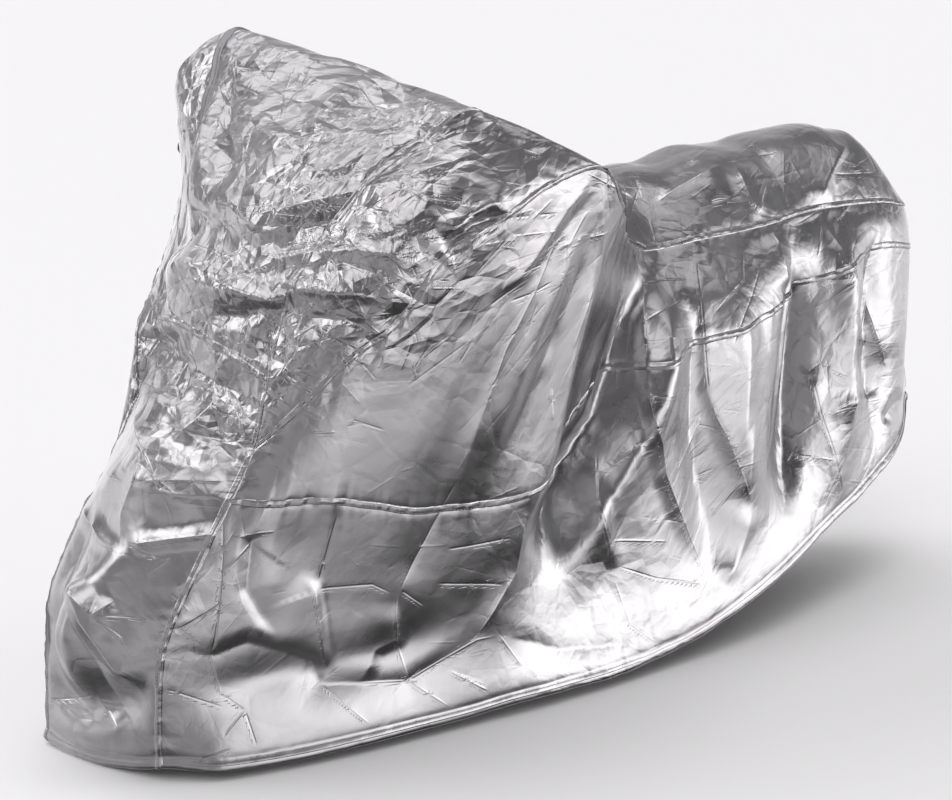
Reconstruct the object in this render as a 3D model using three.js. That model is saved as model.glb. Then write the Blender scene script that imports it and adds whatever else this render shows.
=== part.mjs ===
// Motorcycle cover as it hangs when it is pulled over a machine: eight sewn panels of coated cloth.
// Millimetres, +Z up. The front is at -X, the left side at -Y and the floor at z = 0.
import * as THREE from 'three';

// Driving dimensions of the draped cover, and the sizes that the tables below are drawn at
const LENGTH = 2200;
const WIDTH = 940;
const HEIGHT = 1300;
const DRAWN = { length: 2200, width: 940, height: 1300 };

// Cloth
const CLOTH_THICKNESS = 2;
const HEM_THICKNESS = 5;
const SEAM_GAP = 0.3;
const TIP_INSET = 3;
const SILVER_CLOTH = { color: 0xbfbdbf, roughness: 0.35, metalness: 0.85 };

// Grid of the cloth: aimed length of a cell, and rows across each panel
const CELL = 50;
const LOWER_ROWS = 11;
const UPPER_ROWS = 6;
const STRIP_COLUMNS = 12;
const CHEEK_COLUMNS = 4;

// Sections of the left side, front to rear: points on the upper seam, on the level seam and on the hem
const LEFT_SECTIONS = [
  { at: 'front seam', top: [-819, -230, 632], level: [-868, -222, 543], hem: [-965, -110, 26] },
  { at: 'fork', top: [-766, -280, 695], level: [-800, -262, 532], hem: [-870, -150, 18] },
  { at: 'lamp', top: [-688, -340, 790], level: [-710, -290, 527], hem: [-740, -185, 16] },
  { at: 'lever', top: [-616, -380, 850], level: [-620, -305, 505], hem: [-600, -210, 18] },
  { at: 'clutch', top: [-545, -425, 965], level: [-530, -318, 480], hem: [-480, -225, 19] },
  { at: 'bar', top: [-440, -455, 1025], level: [-420, -330, 472], hem: [-370, -235, 20] },
  { at: 'grip', top: [-336, -462, 1079], level: [-330, -338, 470], hem: [-280, -240, 25] },
  { at: 'grip end', top: [-228, -462, 1094], level: [-240, -330, 490], hem: [-190, -245, 25] },
  { at: 'behind grip', top: [-150, -425, 1020], level: [-170, -285, 550], hem: [-100, -248, 24] },
  { at: 'tank', top: [-30, -310, 925], level: [-80, -285, 632], hem: [-10, -250, 24] },
  { at: 'seat', top: [137, -182, 867], level: [40, -300, 655], hem: [110, -250, 33] },
  { at: 'knee', top: [257, -182, 872], level: [189, -290, 680], hem: [220, -250, 50] },
  { at: 'foot', top: [467, -182, 882], level: [420, -265, 712], hem: [405, -256, 103] },
  { at: 'pillion', top: [631, -172, 896], level: [600, -230, 755], hem: [560, -250, 158] },
  { at: 'tail', top: [871, -142, 884], level: [840, -180, 790], hem: [800, -204, 236] },
  { at: 'tail corner', top: [1008, -104, 859], level: [1012, -125, 765], hem: [972, -150, 296] },
  { at: 'back seam', top: [1066, -8, 850], level: [1092, -12, 755], hem: [1154, -20, 356] },
];

// Sections of the right side, where the turned handlebar stands further forward and higher
const RIGHT_SECTIONS = [
  { at: 'front seam', top: [-818, 182, 640], level: [-887, 181, 520], hem: [-1050, 170, 8] },
  { at: 'fork', top: [-796, 222, 752], level: [-838, 230, 525], hem: [-940, 225, 14] },
  { at: 'lamp', top: [-752, 258, 802], level: [-760, 275, 520], hem: [-800, 250, 16] },
  { at: 'lever', top: [-700, 300, 848], level: [-680, 300, 505], hem: [-670, 262, 18] },
  { at: 'clutch', top: [-644, 345, 910], level: [-610, 315, 490], hem: [-560, 268, 19] },
  { at: 'bar', top: [-590, 390, 980], level: [-530, 325, 480], hem: [-450, 268, 20] },
  { at: 'grip', top: [-558, 430, 1075], level: [-440, 330, 480], hem: [-350, 268, 25] },
  { at: 'grip end', top: [-530, 450, 1145], level: [-330, 325, 500], hem: [-250, 266, 25] },
  { at: 'behind grip', top: [-400, 425, 1130], level: [-210, 300, 555], hem: [-140, 264, 24] },
  { at: 'tank', top: [-140, 310, 1000], level: [-70, 285, 635], hem: [-20, 262, 24] },
  { at: 'seat', top: [137, 190, 890], level: [60, 285, 660], hem: [110, 262, 33] },
  { at: 'knee', top: [257, 185, 888], level: [200, 280, 690], hem: [220, 260, 50] },
  { at: 'foot', top: [467, 180, 895], level: [420, 260, 720], hem: [400, 255, 110] },
  { at: 'pillion', top: [631, 170, 905], level: [600, 230, 760], hem: [560, 240, 170] },
  { at: 'tail', top: [871, 140, 890], level: [840, 175, 790], hem: [800, 195, 215] },
  { at: 'tail corner', top: [1008, 90, 862], level: [1012, 108, 765], hem: [1000, 125, 275] },
  { at: 'back seam', top: [1066, -8, 850], level: [1092, -12, 755], hem: [1154, -20, 356] },
];

// Seam of the front panel, hem to cheek tip; its fifth point is where the level seam starts
const LEFT_FRONT_SEAM = [
  [-965, -110, 26], [-983, -150, 178], [-977, -175, 297], [-919, -205, 440], [-868, -222, 543],
  [-819, -230, 632],
];
const RIGHT_FRONT_SEAM = [
  [-1050, 170, 8], [-1032, 189, 180], [-1014, 195, 290], [-945, 188, 432], [-887, 181, 520],
  [-818, 182, 640],
];
const LEVEL_POINT = 4;
const TIP_POINT = 5;

// Seam between the top panel and a cheek, one point per side section from the front seam to the seat
const LEFT_HOOD_SEAM = [
  [-819, -230, 632], [-790, -228, 745], [-758, -225, 846], [-725, -252, 940], [-672, -275, 1012],
  [-600, -306, 1100], [-532, -345, 1160], [-455, -382, 1203], [-300, -340, 1110], [-110, -255, 985],
  [137, -182, 867],
];
const RIGHT_HOOD_SEAM = [
  [-818, 182, 640], [-772, 172, 785], [-730, 180, 850], [-695, 205, 910], [-655, 240, 990],
  [-612, 282, 1092], [-555, 318, 1195], [-468, 360, 1296], [-330, 310, 1190], [-100, 235, 1020],
  [137, 190, 890],
];
const FRONT_TOP_STATION = 1;
const SEAT_STATION = 10;
const CORNER_STATION = 15;
const BACK_STATION = 16;

// Crown of the centre strip above its two seams: along X, up, and how square the arch is
const STRIP_CROWN = [
  { at: 'hem', along: -12, up: -16, square: 2.0 },
  { at: 'tyre', along: -45, up: 0, square: 2.0 },
  { at: 'wheel', along: -60, up: 0, square: 2.0 },
  { at: 'mudguard', along: -55, up: 0, square: 2.0 },
  { at: 'level', along: -60, up: 0, square: 2.0 },
  { at: 'cheek tip', along: -66, up: 12, square: 2.0 },
  { at: 'cross seam', along: -48, up: 45, square: 2.0 },
  { at: 'lamp', along: -70, up: 32, square: 2.2 },
  { at: 'lever', along: -75, up: 35, square: 2.2 },
  { at: 'screen', along: -75, up: 42, square: 2.4 },
  { at: 'screen top', along: -60, up: 40, square: 2.6 },
  { at: 'mirror stem', along: -30, up: 26, square: 2.8 },
  { at: 'mirrors', along: 0, up: 6, square: 2.8 },
  { at: 'clocks', along: 0, up: 0, square: 2.0 },
  { at: 'tank', along: 0, up: 40, square: 2.2 },
  { at: 'seat', along: 0, up: 108, square: 2.4 },
  { at: 'knee', along: 0, up: 126, square: 2.6 },
  { at: 'foot', along: 0, up: 134, square: 2.8 },
  { at: 'pillion', along: 0, up: 142, square: 2.8 },
  { at: 'tail', along: 4, up: 146, square: 2.6 },
  { at: 'tail corner', along: 62, up: -10, square: 2.0 },
];

// Bulge of each cheek between its seams, one row per side section: along X, outward, up
const LEFT_CHEEK_BULGE = [
  [0, 0, 0], [-6, 8, 4], [-14, 20, 6], [-22, 30, 10], [-26, 34, 14], [-22, 30, 14], [-10, 20, 5], [0, 8, 2],
  [20, -4, 6], [16, -8, -10], [0, 0, 0],
];
const RIGHT_CHEEK_BULGE = [
  [0, 0, 0], [0, 6, 0], [0, 8, 0], [0, 8, 4], [0, 8, 6], [-6, 10, 10], [-26, 26, 14], [-30, 36, 8],
  [10, 20, 30], [16, 4, 0], [0, 0, 0],
];

// Faces that folds are drawn on: the two axes of their lines, and the way they push the cloth
const FACES = {
  left: { axes: ['x', 'z'], push: [0, -1, 0] },
  right: { axes: ['x', 'z'], push: [0, 1, 0] },
  front: { axes: ['y', 'z'], push: [-0.96, 0, 0.28] },
  top: { axes: ['x', 'y'], push: [0, 0, 1] },
};

// Share of a fold's line over which it rises at its start, and dies away at its end
const FOLD_START = 0.3;
const FOLD_END = 0.4;

// Main folds: a line on the face, half width at its start and end, and rise (a trough is below zero)
const FOLDS = {
  left: [
    { name: 'fan before the grip', line: [[-310, 1060], [-480, 700], [-640, 400]],
      wide: [32, 80], rise: 26 },
    { name: 'trough by the fan', line: [[-270, 1060], [-430, 700], [-575, 390]], wide: [24, 58], rise: -24 },
    { name: 'fan from the grip', line: [[-236, 1078], [-380, 715], [-505, 390]], wide: [28, 62], rise: 46 },
    { name: 'trough in the fan', line: [[-205, 1050], [-310, 700], [-415, 360]], wide: [22, 48], rise: -36 },
    { name: 'fan behind the grip', line: [[-168, 1020], [-235, 572], [-345, 290]],
      wide: [28, 60], rise: 48 },
    { name: 'deep trough', line: [[66, 872], [-30, 551], [-140, 410], [-289, 190]],
      wide: [40, 78], rise: -76 },
    { name: 'trough edge', line: [[130, 850], [66, 600], [-60, 400], [-190, 170]],
      wide: [34, 66], rise: 36 },
    { name: 'knee fold', line: [[190, 850], [196, 500], [290, 110]], wide: [36, 60], rise: -34 },
    { name: 'foot fold', line: [[300, 850], [330, 480], [400, 150]], wide: [40, 66], rise: 36 },
    { name: 'pillion trough', line: [[560, 850], [530, 498], [500, 190]], wide: [40, 66], rise: -54 },
    { name: 'tail fold', line: [[668, 870], [680, 625], [719, 260]], wide: [38, 64], rise: 48 },
    { name: 'tail trough', line: [[800, 860], [820, 600], [868, 280]], wide: [34, 58], rise: -36 },
    { name: 'floor flare', line: [[-1150, 16], [-560, 20], [-230, 34]], wide: [95, 95], rise: 30 },
    { name: 'shelf trough', line: [[-1000, 180], [-640, 190], [-300, 240]], wide: [44, 44], rise: -18 },
    { name: 'wheel trough', line: [[-800, 560], [-690, 330], [-650, 160]], wide: [46, 60], rise: -16 },
  ],
  right: [
    { name: 'fan before the grip', line: [[-560, 1010], [-590, 700], [-700, 330]],
      wide: [30, 70], rise: 28 },
    { name: 'fan from the grip', line: [[-520, 1110], [-470, 700], [-520, 330]], wide: [28, 66], rise: -28 },
    { name: 'fan behind the grip', line: [[-490, 1100], [-330, 640], [-330, 260]],
      wide: [28, 70], rise: 40 },
    { name: 'tank trough', line: [[-40, 900], [-110, 580], [-210, 200]], wide: [40, 74], rise: -50 },
    { name: 'knee fold', line: [[150, 860], [70, 520], [20, 130]], wide: [36, 70], rise: 34 },
    { name: 'foot trough', line: [[330, 860], [330, 520], [300, 120]], wide: [40, 66], rise: -30 },
    { name: 'foot fold', line: [[450, 860], [470, 520], [480, 170]], wide: [40, 66], rise: 32 },
    { name: 'pillion trough', line: [[620, 870], [600, 560], [640, 230]], wide: [38, 62], rise: -34 },
    { name: 'tail fold', line: [[760, 870], [770, 600], [800, 250]], wide: [38, 60], rise: 34 },
    { name: 'floor flare', line: [[-1180, 16], [-560, 22], [-120, 34]], wide: [92, 92], rise: 26 },
    { name: 'shelf trough', line: [[-1000, 215], [-560, 190], [-220, 240]], wide: [42, 42], rise: -16 },
  ],
  front: [
    { name: 'cross seam shelf', line: [[-340, 660], [-40, 745], [280, 725]], wide: [38, 44], rise: -28 },
    { name: 'mudguard fold', line: [[-300, 500], [-20, 560], [260, 440]], wide: [40, 44], rise: 22 },
    { name: 'tyre fold', line: [[-130, 520], [20, 300], [70, 90]], wide: [40, 46], rise: 22 },
    { name: 'tyre trough', line: [[100, 500], [120, 300], [160, 110]], wide: [32, 40], rise: -20 },
    { name: 'hem trough', line: [[-180, 200], [40, 120], [260, 135]], wide: [40, 46], rise: -30 },
    { name: 'brow', line: [[-340, 850], [-20, 915], [270, 865]], wide: [36, 42], rise: 22 },
    { name: 'brow trough', line: [[-360, 930], [-40, 985], [290, 930]], wide: [36, 40], rise: -16 },
    { name: 'right mirror pull', line: [[350, 1285], [190, 1090], [20, 940]], wide: [30, 60], rise: 18 },
    { name: 'right screen trough', line: [[330, 1240], [130, 1130], [-120, 1040]],
      wide: [30, 56], rise: -18 },
    { name: 'left mirror pull', line: [[-375, 1190], [-240, 1080], [-90, 1010]], wide: [30, 56], rise: 18 },
  ],
  top: [
    { name: 'clocks dip', line: [[-350, -400], [-320, 0], [-335, 400]], wide: [60, 60], rise: -30 },
    { name: 'tank fold', line: [[-260, -350], [-60, 20], [-200, 360]], wide: [50, 50], rise: 20 },
    { name: 'seat trough', line: [[110, -300], [300, -60], [345, 260]], wide: [38, 46], rise: -12 },
    { name: 'seat fold', line: [[280, -290], [430, -20], [385, 260]], wide: [36, 44], rise: 10 },
    { name: 'pillion trough', line: [[570, -280], [540, 0], [620, 250]], wide: [36, 40], rise: -10 },
    { name: 'tail trough', line: [[780, -250], [840, 0], [795, 230]], wide: [32, 36], rise: -12 },
  ],
};

// Where folds die out: towards the upper seam, towards the end seams of a side, and towards the strip's edges
const FADE_HEIGHT = 0.4;
const FADE_STATIONS = 1;
const FADE_POWER = 6;
const FRONT_FOLDS_END = 12;

const CURVE_TENSION = 0.5;
const LEVEL_SOFTNESS = 0.5;
const FRONT_SEAM_REACH = 2.5;

const stretch = new THREE.Vector3(LENGTH / DRAWN.length, WIDTH / DRAWN.width, HEIGHT / DRAWN.height);

// Smooth curve through points, read at a point number that may lie between two of them
function curveThrough(points) {
  const places = points.map((p) => new THREE.Vector3(...p));
  const curve = new THREE.CatmullRomCurve3(places, false, 'catmullrom', CURVE_TENSION);
  const last = points.length - 1;
  return (number) => curve.getPoint(THREE.MathUtils.clamp(number / last, 0, 1));
}

function sideCurves(sections, frontSeam, hoodSeam, bulge, outward) {
  return {
    top: curveThrough(sections.map((row) => row.top)),
    level: curveThrough(sections.map((row) => row.level)),
    hem: curveThrough(sections.map((row) => row.hem)),
    frontSeam: curveThrough(frontSeam),
    hoodSeam: curveThrough(hoodSeam),
    bulge: curveThrough(bulge),
    outward,
  };
}

const LEFT = sideCurves(LEFT_SECTIONS, LEFT_FRONT_SEAM, LEFT_HOOD_SEAM, LEFT_CHEEK_BULGE, -1);
const RIGHT = sideCurves(RIGHT_SECTIONS, RIGHT_FRONT_SEAM, RIGHT_HOOD_SEAM, RIGHT_CHEEK_BULGE, 1);
const crownCurve = curveThrough(STRIP_CROWN.map((row) => [row.along, row.up, row.square]));

// Point between hem (height 0), level seam (1) and upper seam (2), rounded where the level seam turns
function upright(hem, level, top, height) {
  const below = level.clone().sub(hem);
  const above = top.clone().sub(level);
  const turn = above.clone().sub(below).multiplyScalar(0.5 * LEVEL_SOFTNESS);
  if (height <= 1) {
    return hem.clone().addScaledVector(below, height).addScaledVector(turn, height ** 3 - height ** 2);
  }
  const f = height - 1;
  return level.clone().addScaledVector(above, f).addScaledVector(turn, -(f ** 3 - 2 * f ** 2 + f));
}

// Point number on the front seam that meets a height of the side
function seamNumber(height) {
  return height <= 1 ? height * LEVEL_POINT : LEVEL_POINT + (height - 1) * (TIP_POINT - LEVEL_POINT);
}

function sidePoint(side, station, height) {
  const point = upright(side.hem(station), side.level(station), side.top(station), height);
  const reach = Math.max(0, 1 - station / FRONT_SEAM_REACH) ** 2;
  const straight = upright(side.hem(0), side.level(0), side.top(0), height);
  return point.addScaledVector(side.frontSeam(seamNumber(height)).sub(straight), reach);
}

// Edge of the centre strip: up the front seam, along the hood seam, then along the seat
function stripEdge(side, number) {
  if (number <= TIP_POINT) return side.frontSeam(number);
  const station = number - TIP_POINT;
  return station <= SEAT_STATION ? side.hoodSeam(station) : side.top(station);
}

function archedRow(number, across) {
  const crown = crownCurve(number);
  const arch = 1 - Math.abs(2 * across - 1) ** crown.z;
  const point = stripEdge(LEFT, number).lerp(stripEdge(RIGHT, number), across);
  return point.add(new THREE.Vector3(crown.x * arch, 0, crown.y * arch));
}

// Point of the centre strip, whose last row bends round the tail on the seam
function stripPoint(number, across) {
  const lastNumber = TIP_POINT + CORNER_STATION;
  const point = archedRow(number, across);
  const bend = Math.max(0, number - lastNumber + 1) ** 2;
  if (bend === 0) return point;
  const onSeam = across < 0.5
    ? LEFT.top(CORNER_STATION + 2 * across)
    : RIGHT.top(CORNER_STATION + 2 - 2 * across);
  return point.addScaledVector(onSeam.sub(archedRow(lastNumber, across)), bend);
}

function cheekPoint(side, station, across) {
  const bulge = side.bulge(station).multiplyScalar(4 * across * (1 - across));
  const point = side.hoodSeam(station).lerp(side.top(station), across);
  return point.add(new THREE.Vector3(bulge.x, side.outward * bulge.y, bulge.z));
}

// Distance from a point of a face to a fold's line, and how far along the line the nearest place is
function nearestOnLine(u, v, line) {
  const lengths = line.slice(1).map((end, i) => Math.hypot(end[0] - line[i][0], end[1] - line[i][1]));
  const total = lengths.reduce((sum, length) => sum + length, 0);
  let best = { distance: Infinity, along: 0 };
  let walked = 0;
  lengths.forEach((length, i) => {
    const [u0, v0] = line[i];
    const du = (line[i + 1][0] - u0) / length;
    const dv = (line[i + 1][1] - v0) / length;
    const step = THREE.MathUtils.clamp((u - u0) * du + (v - v0) * dv, 0, length);
    const distance = Math.hypot(u - u0 - step * du, v - v0 - step * dv);
    if (distance < best.distance) best = { distance, along: (walked + step) / total };
    walked += length;
  });
  return best;
}

// Moves a point of the smooth cloth by the folds of its face
function foldPoint(point, faceName, share) {
  const { lerp, smoothstep } = THREE.MathUtils;
  const face = FACES[faceName];
  const [u, v] = face.axes.map((axis) => point[axis]);
  let rise = 0;
  for (const fold of FOLDS[faceName]) {
    const { distance, along } = nearestOnLine(u, v, fold.line);
    const wide = lerp(fold.wide[0], fold.wide[1], along);
    const ends = smoothstep(along, 0, FOLD_START) * smoothstep(1 - along, 0, FOLD_END);
    rise += fold.rise * share * ends * Math.exp(-((distance / wide) ** 2));
  }
  return point.addScaledVector(new THREE.Vector3(...face.push), rise);
}

function foldedSidePoint(side, station, height) {
  const { smoothstep } = THREE.MathUtils;
  const belowSeam = smoothstep(2 - height, 0, FADE_HEIGHT);
  const behindFront = smoothstep(station, 0, FADE_STATIONS);
  const beforeBack = smoothstep(BACK_STATION - station, 0, FADE_STATIONS);
  const share = belowSeam * behindFront * beforeBack;
  return foldPoint(sidePoint(side, station, height), side === LEFT ? 'left' : 'right', share);
}

function foldedStripPoint(number, across) {
  const beforeTail = THREE.MathUtils.smoothstep(TIP_POINT + CORNER_STATION - number, 0, FADE_STATIONS);
  const share = beforeTail * (1 - Math.abs(2 * across - 1) ** FADE_POWER);
  return foldPoint(stripPoint(number, across), number < FRONT_FOLDS_END ? 'front' : 'top', share);
}

// Even steps from one number to the next
function steps(from, to, count) {
  return Array.from({ length: count + 1 }, (_, i) => from + ((to - from) * i) / count);
}

// Stations of the columns, closer where two sections lie further apart on either side
function columnStations() {
  const stations = [0];
  for (let i = 0; i < BACK_STATION; i += 1) {
    const spans = [LEFT, RIGHT].flatMap((side) => {
      const curves = i < SEAT_STATION ? [side.top, side.hem, side.hoodSeam] : [side.top, side.hem];
      return curves.map((curve) => curve(i).distanceTo(curve(i + 1)));
    });
    const even = Math.max(2, Math.round(Math.max(...spans) / CELL));
    const count = i === CORNER_STATION ? STRIP_COLUMNS / 2 : even;
    stations.push(...steps(i, i + 1, count).slice(1));
  }
  return stations;
}

// Panels as grids of points: the first index runs to the rear or upward, the second across
function panelGrids() {
  const stations = columnStations();
  const low = steps(0, 1, LOWER_ROWS);
  const high = steps(1, 2, UPPER_ROWS);
  const across = steps(0, 1, STRIP_COLUMNS);
  const cheekAcross = steps(0, 1, CHEEK_COLUMNS);
  const frontNumbers = [...low, ...high.slice(1)].map(seamNumber);
  frontNumbers.push(...stations.filter((s) => s > 0 && s <= FRONT_TOP_STATION).map((s) => s + TIP_POINT));
  const topNumbers = stations
    .filter((s) => s >= FRONT_TOP_STATION && s <= CORNER_STATION)
    .map((s) => s + TIP_POINT);
  const cheekStations = stations.filter((s) => s <= SEAT_STATION);
  const grid = (rows, columns, pointAt) =>
    rows.map((row) => columns.map((column) => pointAt(row, column).multiply(stretch)));
  const panels = [
    { name: 'front_panel', grid: grid(frontNumbers, across, foldedStripPoint), hemEdge: 'rows' },
    { name: 'top_panel', grid: grid(topNumbers, across, foldedStripPoint) },
  ];
  for (const [name, side] of Object.entries({ left: LEFT, right: RIGHT })) {
    const onSide = (station, height) => foldedSidePoint(side, station, height);
    const onCheek = (station, share) => cheekPoint(side, station, share);
    const isRight = side === RIGHT;
    const lower = grid(stations, low, onSide);
    const upper = grid(stations, high, onSide);
    const cheek = grid(cheekStations, cheekAcross, onCheek);
    panels.push(
      { name: `${name}_lower_side`, grid: lower, turned: isRight, hemEdge: 'columns' },
      { name: `${name}_upper_side`, grid: upper, turned: isRight },
      { name: `${name}_cheek`, grid: cheek, turned: !isRight, tips: true },
    );
  }
  return panels;
}

const placeKey = (p) => [p.x, p.y, p.z].map((value) => value.toFixed(2)).join(' ');

// Outward directions, shared by the panels along their seams
function sharedNormals(panels) {
  const normals = new Map();
  const corner = new THREE.Vector3();
  for (const { grid, turned } of panels) {
    for (let i = 0; i + 1 < grid.length; i += 1) {
      for (let j = 0; j + 1 < grid[0].length; j += 1) {
        const cell = [grid[i][j], grid[i + 1][j], grid[i + 1][j + 1], grid[i][j + 1]];
        const otherDiagonal = new THREE.Vector3().subVectors(cell[3], cell[1]);
        corner.subVectors(cell[2], cell[0]).cross(otherDiagonal).normalize();
        if (turned) corner.negate();
        for (const place of cell) {
          const key = placeKey(place);
          if (!normals.has(key)) normals.set(key, new THREE.Vector3());
          normals.get(key).add(corner);
        }
      }
    }
  }
  for (const normal of normals.values()) normal.normalize();
  return normals;
}

// Short step from a point on the border of a grid to the inside of its panel
function borderInset(grid, i, j, normal) {
  const inset = new THREE.Vector3();
  const lastRow = grid.length - 1;
  const lastColumn = grid[0].length - 1;
  const inward = (along, toInside) => {
    const direction = new THREE.Vector3().crossVectors(normal, along).normalize();
    if (direction.dot(toInside) < 0) direction.negate();
    inset.addScaledVector(direction, SEAM_GAP / 2);
  };
  const between = (a, b) => new THREE.Vector3().subVectors(b, a);
  if (i === 0 || i === lastRow) {
    const along = between(grid[i][Math.max(j - 1, 0)], grid[i][Math.min(j + 1, lastColumn)]);
    inward(along, between(grid[i][j], grid[i === 0 ? 1 : i - 1][j]));
  }
  if (j === 0 || j === lastColumn) {
    const along = between(grid[Math.max(i - 1, 0)][j], grid[Math.min(i + 1, lastRow)][j]);
    inward(along, between(grid[i][j], grid[i][j === 0 ? 1 : j - 1]));
  }
  return inset;
}

function tipInset(grid, i) {
  const middle = Math.floor(grid[0].length / 2);
  const next = grid[i === 0 ? 1 : i - 1][middle];
  return new THREE.Vector3().subVectors(next, grid[i][middle]).setLength(TIP_INSET);
}

// Closed sheet on a grid of points: two skins and the walls round its border
function sheetGeometry({ grid, turned, tips, hemEdge }, normals) {
  const rows = grid.length;
  const columns = grid[0].length;
  const positions = [];
  const triangles = [];
  const index = (skin, i, j) => (skin * rows + i) * columns + j;
  for (const half of [0.5, -0.5]) {
    for (let i = 0; i < rows; i += 1) {
      for (let j = 0; j < columns; j += 1) {
        const normal = normals.get(placeKey(grid[i][j]));
        const onHem = (hemEdge === 'rows' && i === 0) || (hemEdge === 'columns' && j === 0);
        const isTip = tips && (i === 0 || i === rows - 1);
        const inset = isTip ? tipInset(grid, i) : borderInset(grid, i, j, normal);
        const point = grid[i][j].clone().add(inset);
        point.addScaledVector(normal, half * (onHem ? HEM_THICKNESS : CLOTH_THICKNESS));
        positions.push(point);
      }
    }
  }
  const triangle = (a, b, c) => {
    const [pa, pb, pc] = [positions[a], positions[b], positions[c]];
    const flat = pa.equals(pb) || pb.equals(pc) || pc.equals(pa);
    if (!flat) triangles.push(...(turned ? [a, c, b] : [a, b, c]));
  };
  const cell = (a, b, c, d) => {
    triangle(a, b, c);
    triangle(a, c, d);
  };
  for (let i = 0; i + 1 < rows; i += 1) {
    for (let j = 0; j + 1 < columns; j += 1) {
      cell(index(0, i, j), index(0, i + 1, j), index(0, i + 1, j + 1), index(0, i, j + 1));
      cell(index(1, i, j), index(1, i, j + 1), index(1, i + 1, j + 1), index(1, i + 1, j));
    }
  }
  // Walls, all split from the outer skin to the next place on the inner one, as their neighbours' are
  const wall = (i0, j0, i1, j1, reversed) => {
    const [a, b, c, d] = [index(0, i0, j0), index(0, i1, j1), index(1, i1, j1), index(1, i0, j0)];
    triangle(a, reversed ? c : b, reversed ? b : c);
    triangle(a, reversed ? d : c, reversed ? c : d);
  };
  for (let i = 0; i + 1 < rows; i += 1) {
    wall(i, 0, i + 1, 0, true);
    wall(i, columns - 1, i + 1, columns - 1, false);
  }
  for (let j = 0; j + 1 < columns; j += 1) {
    wall(0, j, 0, j + 1, false);
    wall(rows - 1, j, rows - 1, j + 1, true);
  }
  const geometry = new THREE.BufferGeometry().setFromPoints(positions);
  geometry.setIndex(triangles);
  geometry.computeVertexNormals();
  return geometry;
}

const silverCloth = () => new THREE.MeshStandardMaterial(SILVER_CLOTH);

const cover = new THREE.Group();
const panels = panelGrids();
const normals = sharedNormals(panels);
for (const panel of panels) {
  const mesh = new THREE.Mesh(sheetGeometry(panel, normals), silverCloth());
  mesh.name = panel.name;
  cover.add(mesh);
}

// The frame's origin is on the floor, below the middle of the cover
const box = new THREE.Box3().setFromObject(cover);
const middle = box.getCenter(new THREE.Vector3());
cover.position.set(-middle.x, -middle.y, -box.min.z);

export default cover;
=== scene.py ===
"""Looks of the draped motorcycle cover: silver coated cloth with creases, sewn seams and a rolled hem."""
import math
from collections import namedtuple

import bpy
import numpy as np
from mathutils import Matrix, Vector


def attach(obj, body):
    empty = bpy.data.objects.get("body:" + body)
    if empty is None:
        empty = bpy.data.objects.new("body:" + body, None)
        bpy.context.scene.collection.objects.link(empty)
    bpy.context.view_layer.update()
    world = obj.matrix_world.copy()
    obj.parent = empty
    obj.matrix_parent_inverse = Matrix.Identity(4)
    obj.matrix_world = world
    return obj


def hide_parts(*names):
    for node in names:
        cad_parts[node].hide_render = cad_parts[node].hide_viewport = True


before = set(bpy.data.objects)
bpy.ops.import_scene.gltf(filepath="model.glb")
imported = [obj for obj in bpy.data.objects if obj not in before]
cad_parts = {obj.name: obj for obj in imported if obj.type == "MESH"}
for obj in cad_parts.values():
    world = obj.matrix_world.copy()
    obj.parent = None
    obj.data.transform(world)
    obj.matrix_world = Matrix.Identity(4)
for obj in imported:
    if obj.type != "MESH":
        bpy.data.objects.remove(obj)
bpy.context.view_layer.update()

# Lengths in this script are millimetres in the drawing's own frame, as in the part's source, and the shift
# leads from there to the shared frame
MM = 0.001
FRAME_SHIFT = np.array([-37.91, 5.26, 0.20])
BODY = "root"

# Main view, and the place of its camera
VIEW_AZIMUTH = -38.0
VIEW_ELEVATION = 14.6
VIEW_DISTANCE = 4130.0
VIEW_TARGET = np.array([-152.0, 0.0, 562.0])
SENSOR_WIDTH = 36.0
IMAGE_WIDTH = 952
IMAGE_HEIGHT = 800
FOCAL_PIXELS = 2046.0

# Grid of the cloth: length of a cell, of a cell beside a seam, and how fast cells grow from there
CELL = 5.0
EDGE_CELL = 3.0
EDGE_GROWTH = 1.35
LOWER_SPAN = 560.0
UPPER_SPAN = 520.0
STRIP_SPAN = 720.0
CHEEK_SPAN = 190.0

# Sections of the two sides, front to rear: name, and points on the upper seam, the level seam and the hem
LEFT_SECTIONS = [
    ("front seam", (-819, -230, 632), (-868, -222, 543), (-965, -110, 26)),
    ("fork", (-766, -280, 695), (-800, -262, 532), (-870, -150, 18)),
    ("lamp", (-688, -340, 790), (-710, -290, 527), (-740, -185, 16)),
    ("lever", (-616, -380, 850), (-620, -305, 505), (-600, -210, 18)),
    ("clutch", (-545, -425, 965), (-530, -318, 480), (-480, -225, 19)),
    ("bar", (-440, -455, 1025), (-420, -330, 472), (-370, -235, 20)),
    ("grip", (-336, -462, 1079), (-330, -338, 470), (-280, -240, 25)),
    ("grip end", (-228, -462, 1094), (-240, -330, 490), (-190, -245, 25)),
    ("behind grip", (-150, -425, 1020), (-170, -285, 550), (-100, -248, 24)),
    ("tank", (-30, -310, 925), (-80, -285, 632), (-10, -250, 24)),
    ("seat", (137, -182, 867), (40, -300, 655), (110, -250, 33)),
    ("knee", (257, -182, 872), (189, -290, 680), (220, -250, 50)),
    ("foot", (467, -182, 882), (420, -265, 712), (405, -256, 103)),
    ("pillion", (631, -172, 896), (600, -230, 755), (560, -250, 158)),
    ("tail", (871, -142, 884), (840, -180, 790), (800, -204, 236)),
    ("tail corner", (1008, -104, 859), (1012, -125, 765), (972, -150, 296)),
    ("back seam", (1066, -8, 850), (1092, -12, 755), (1154, -20, 356)),
]
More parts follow.
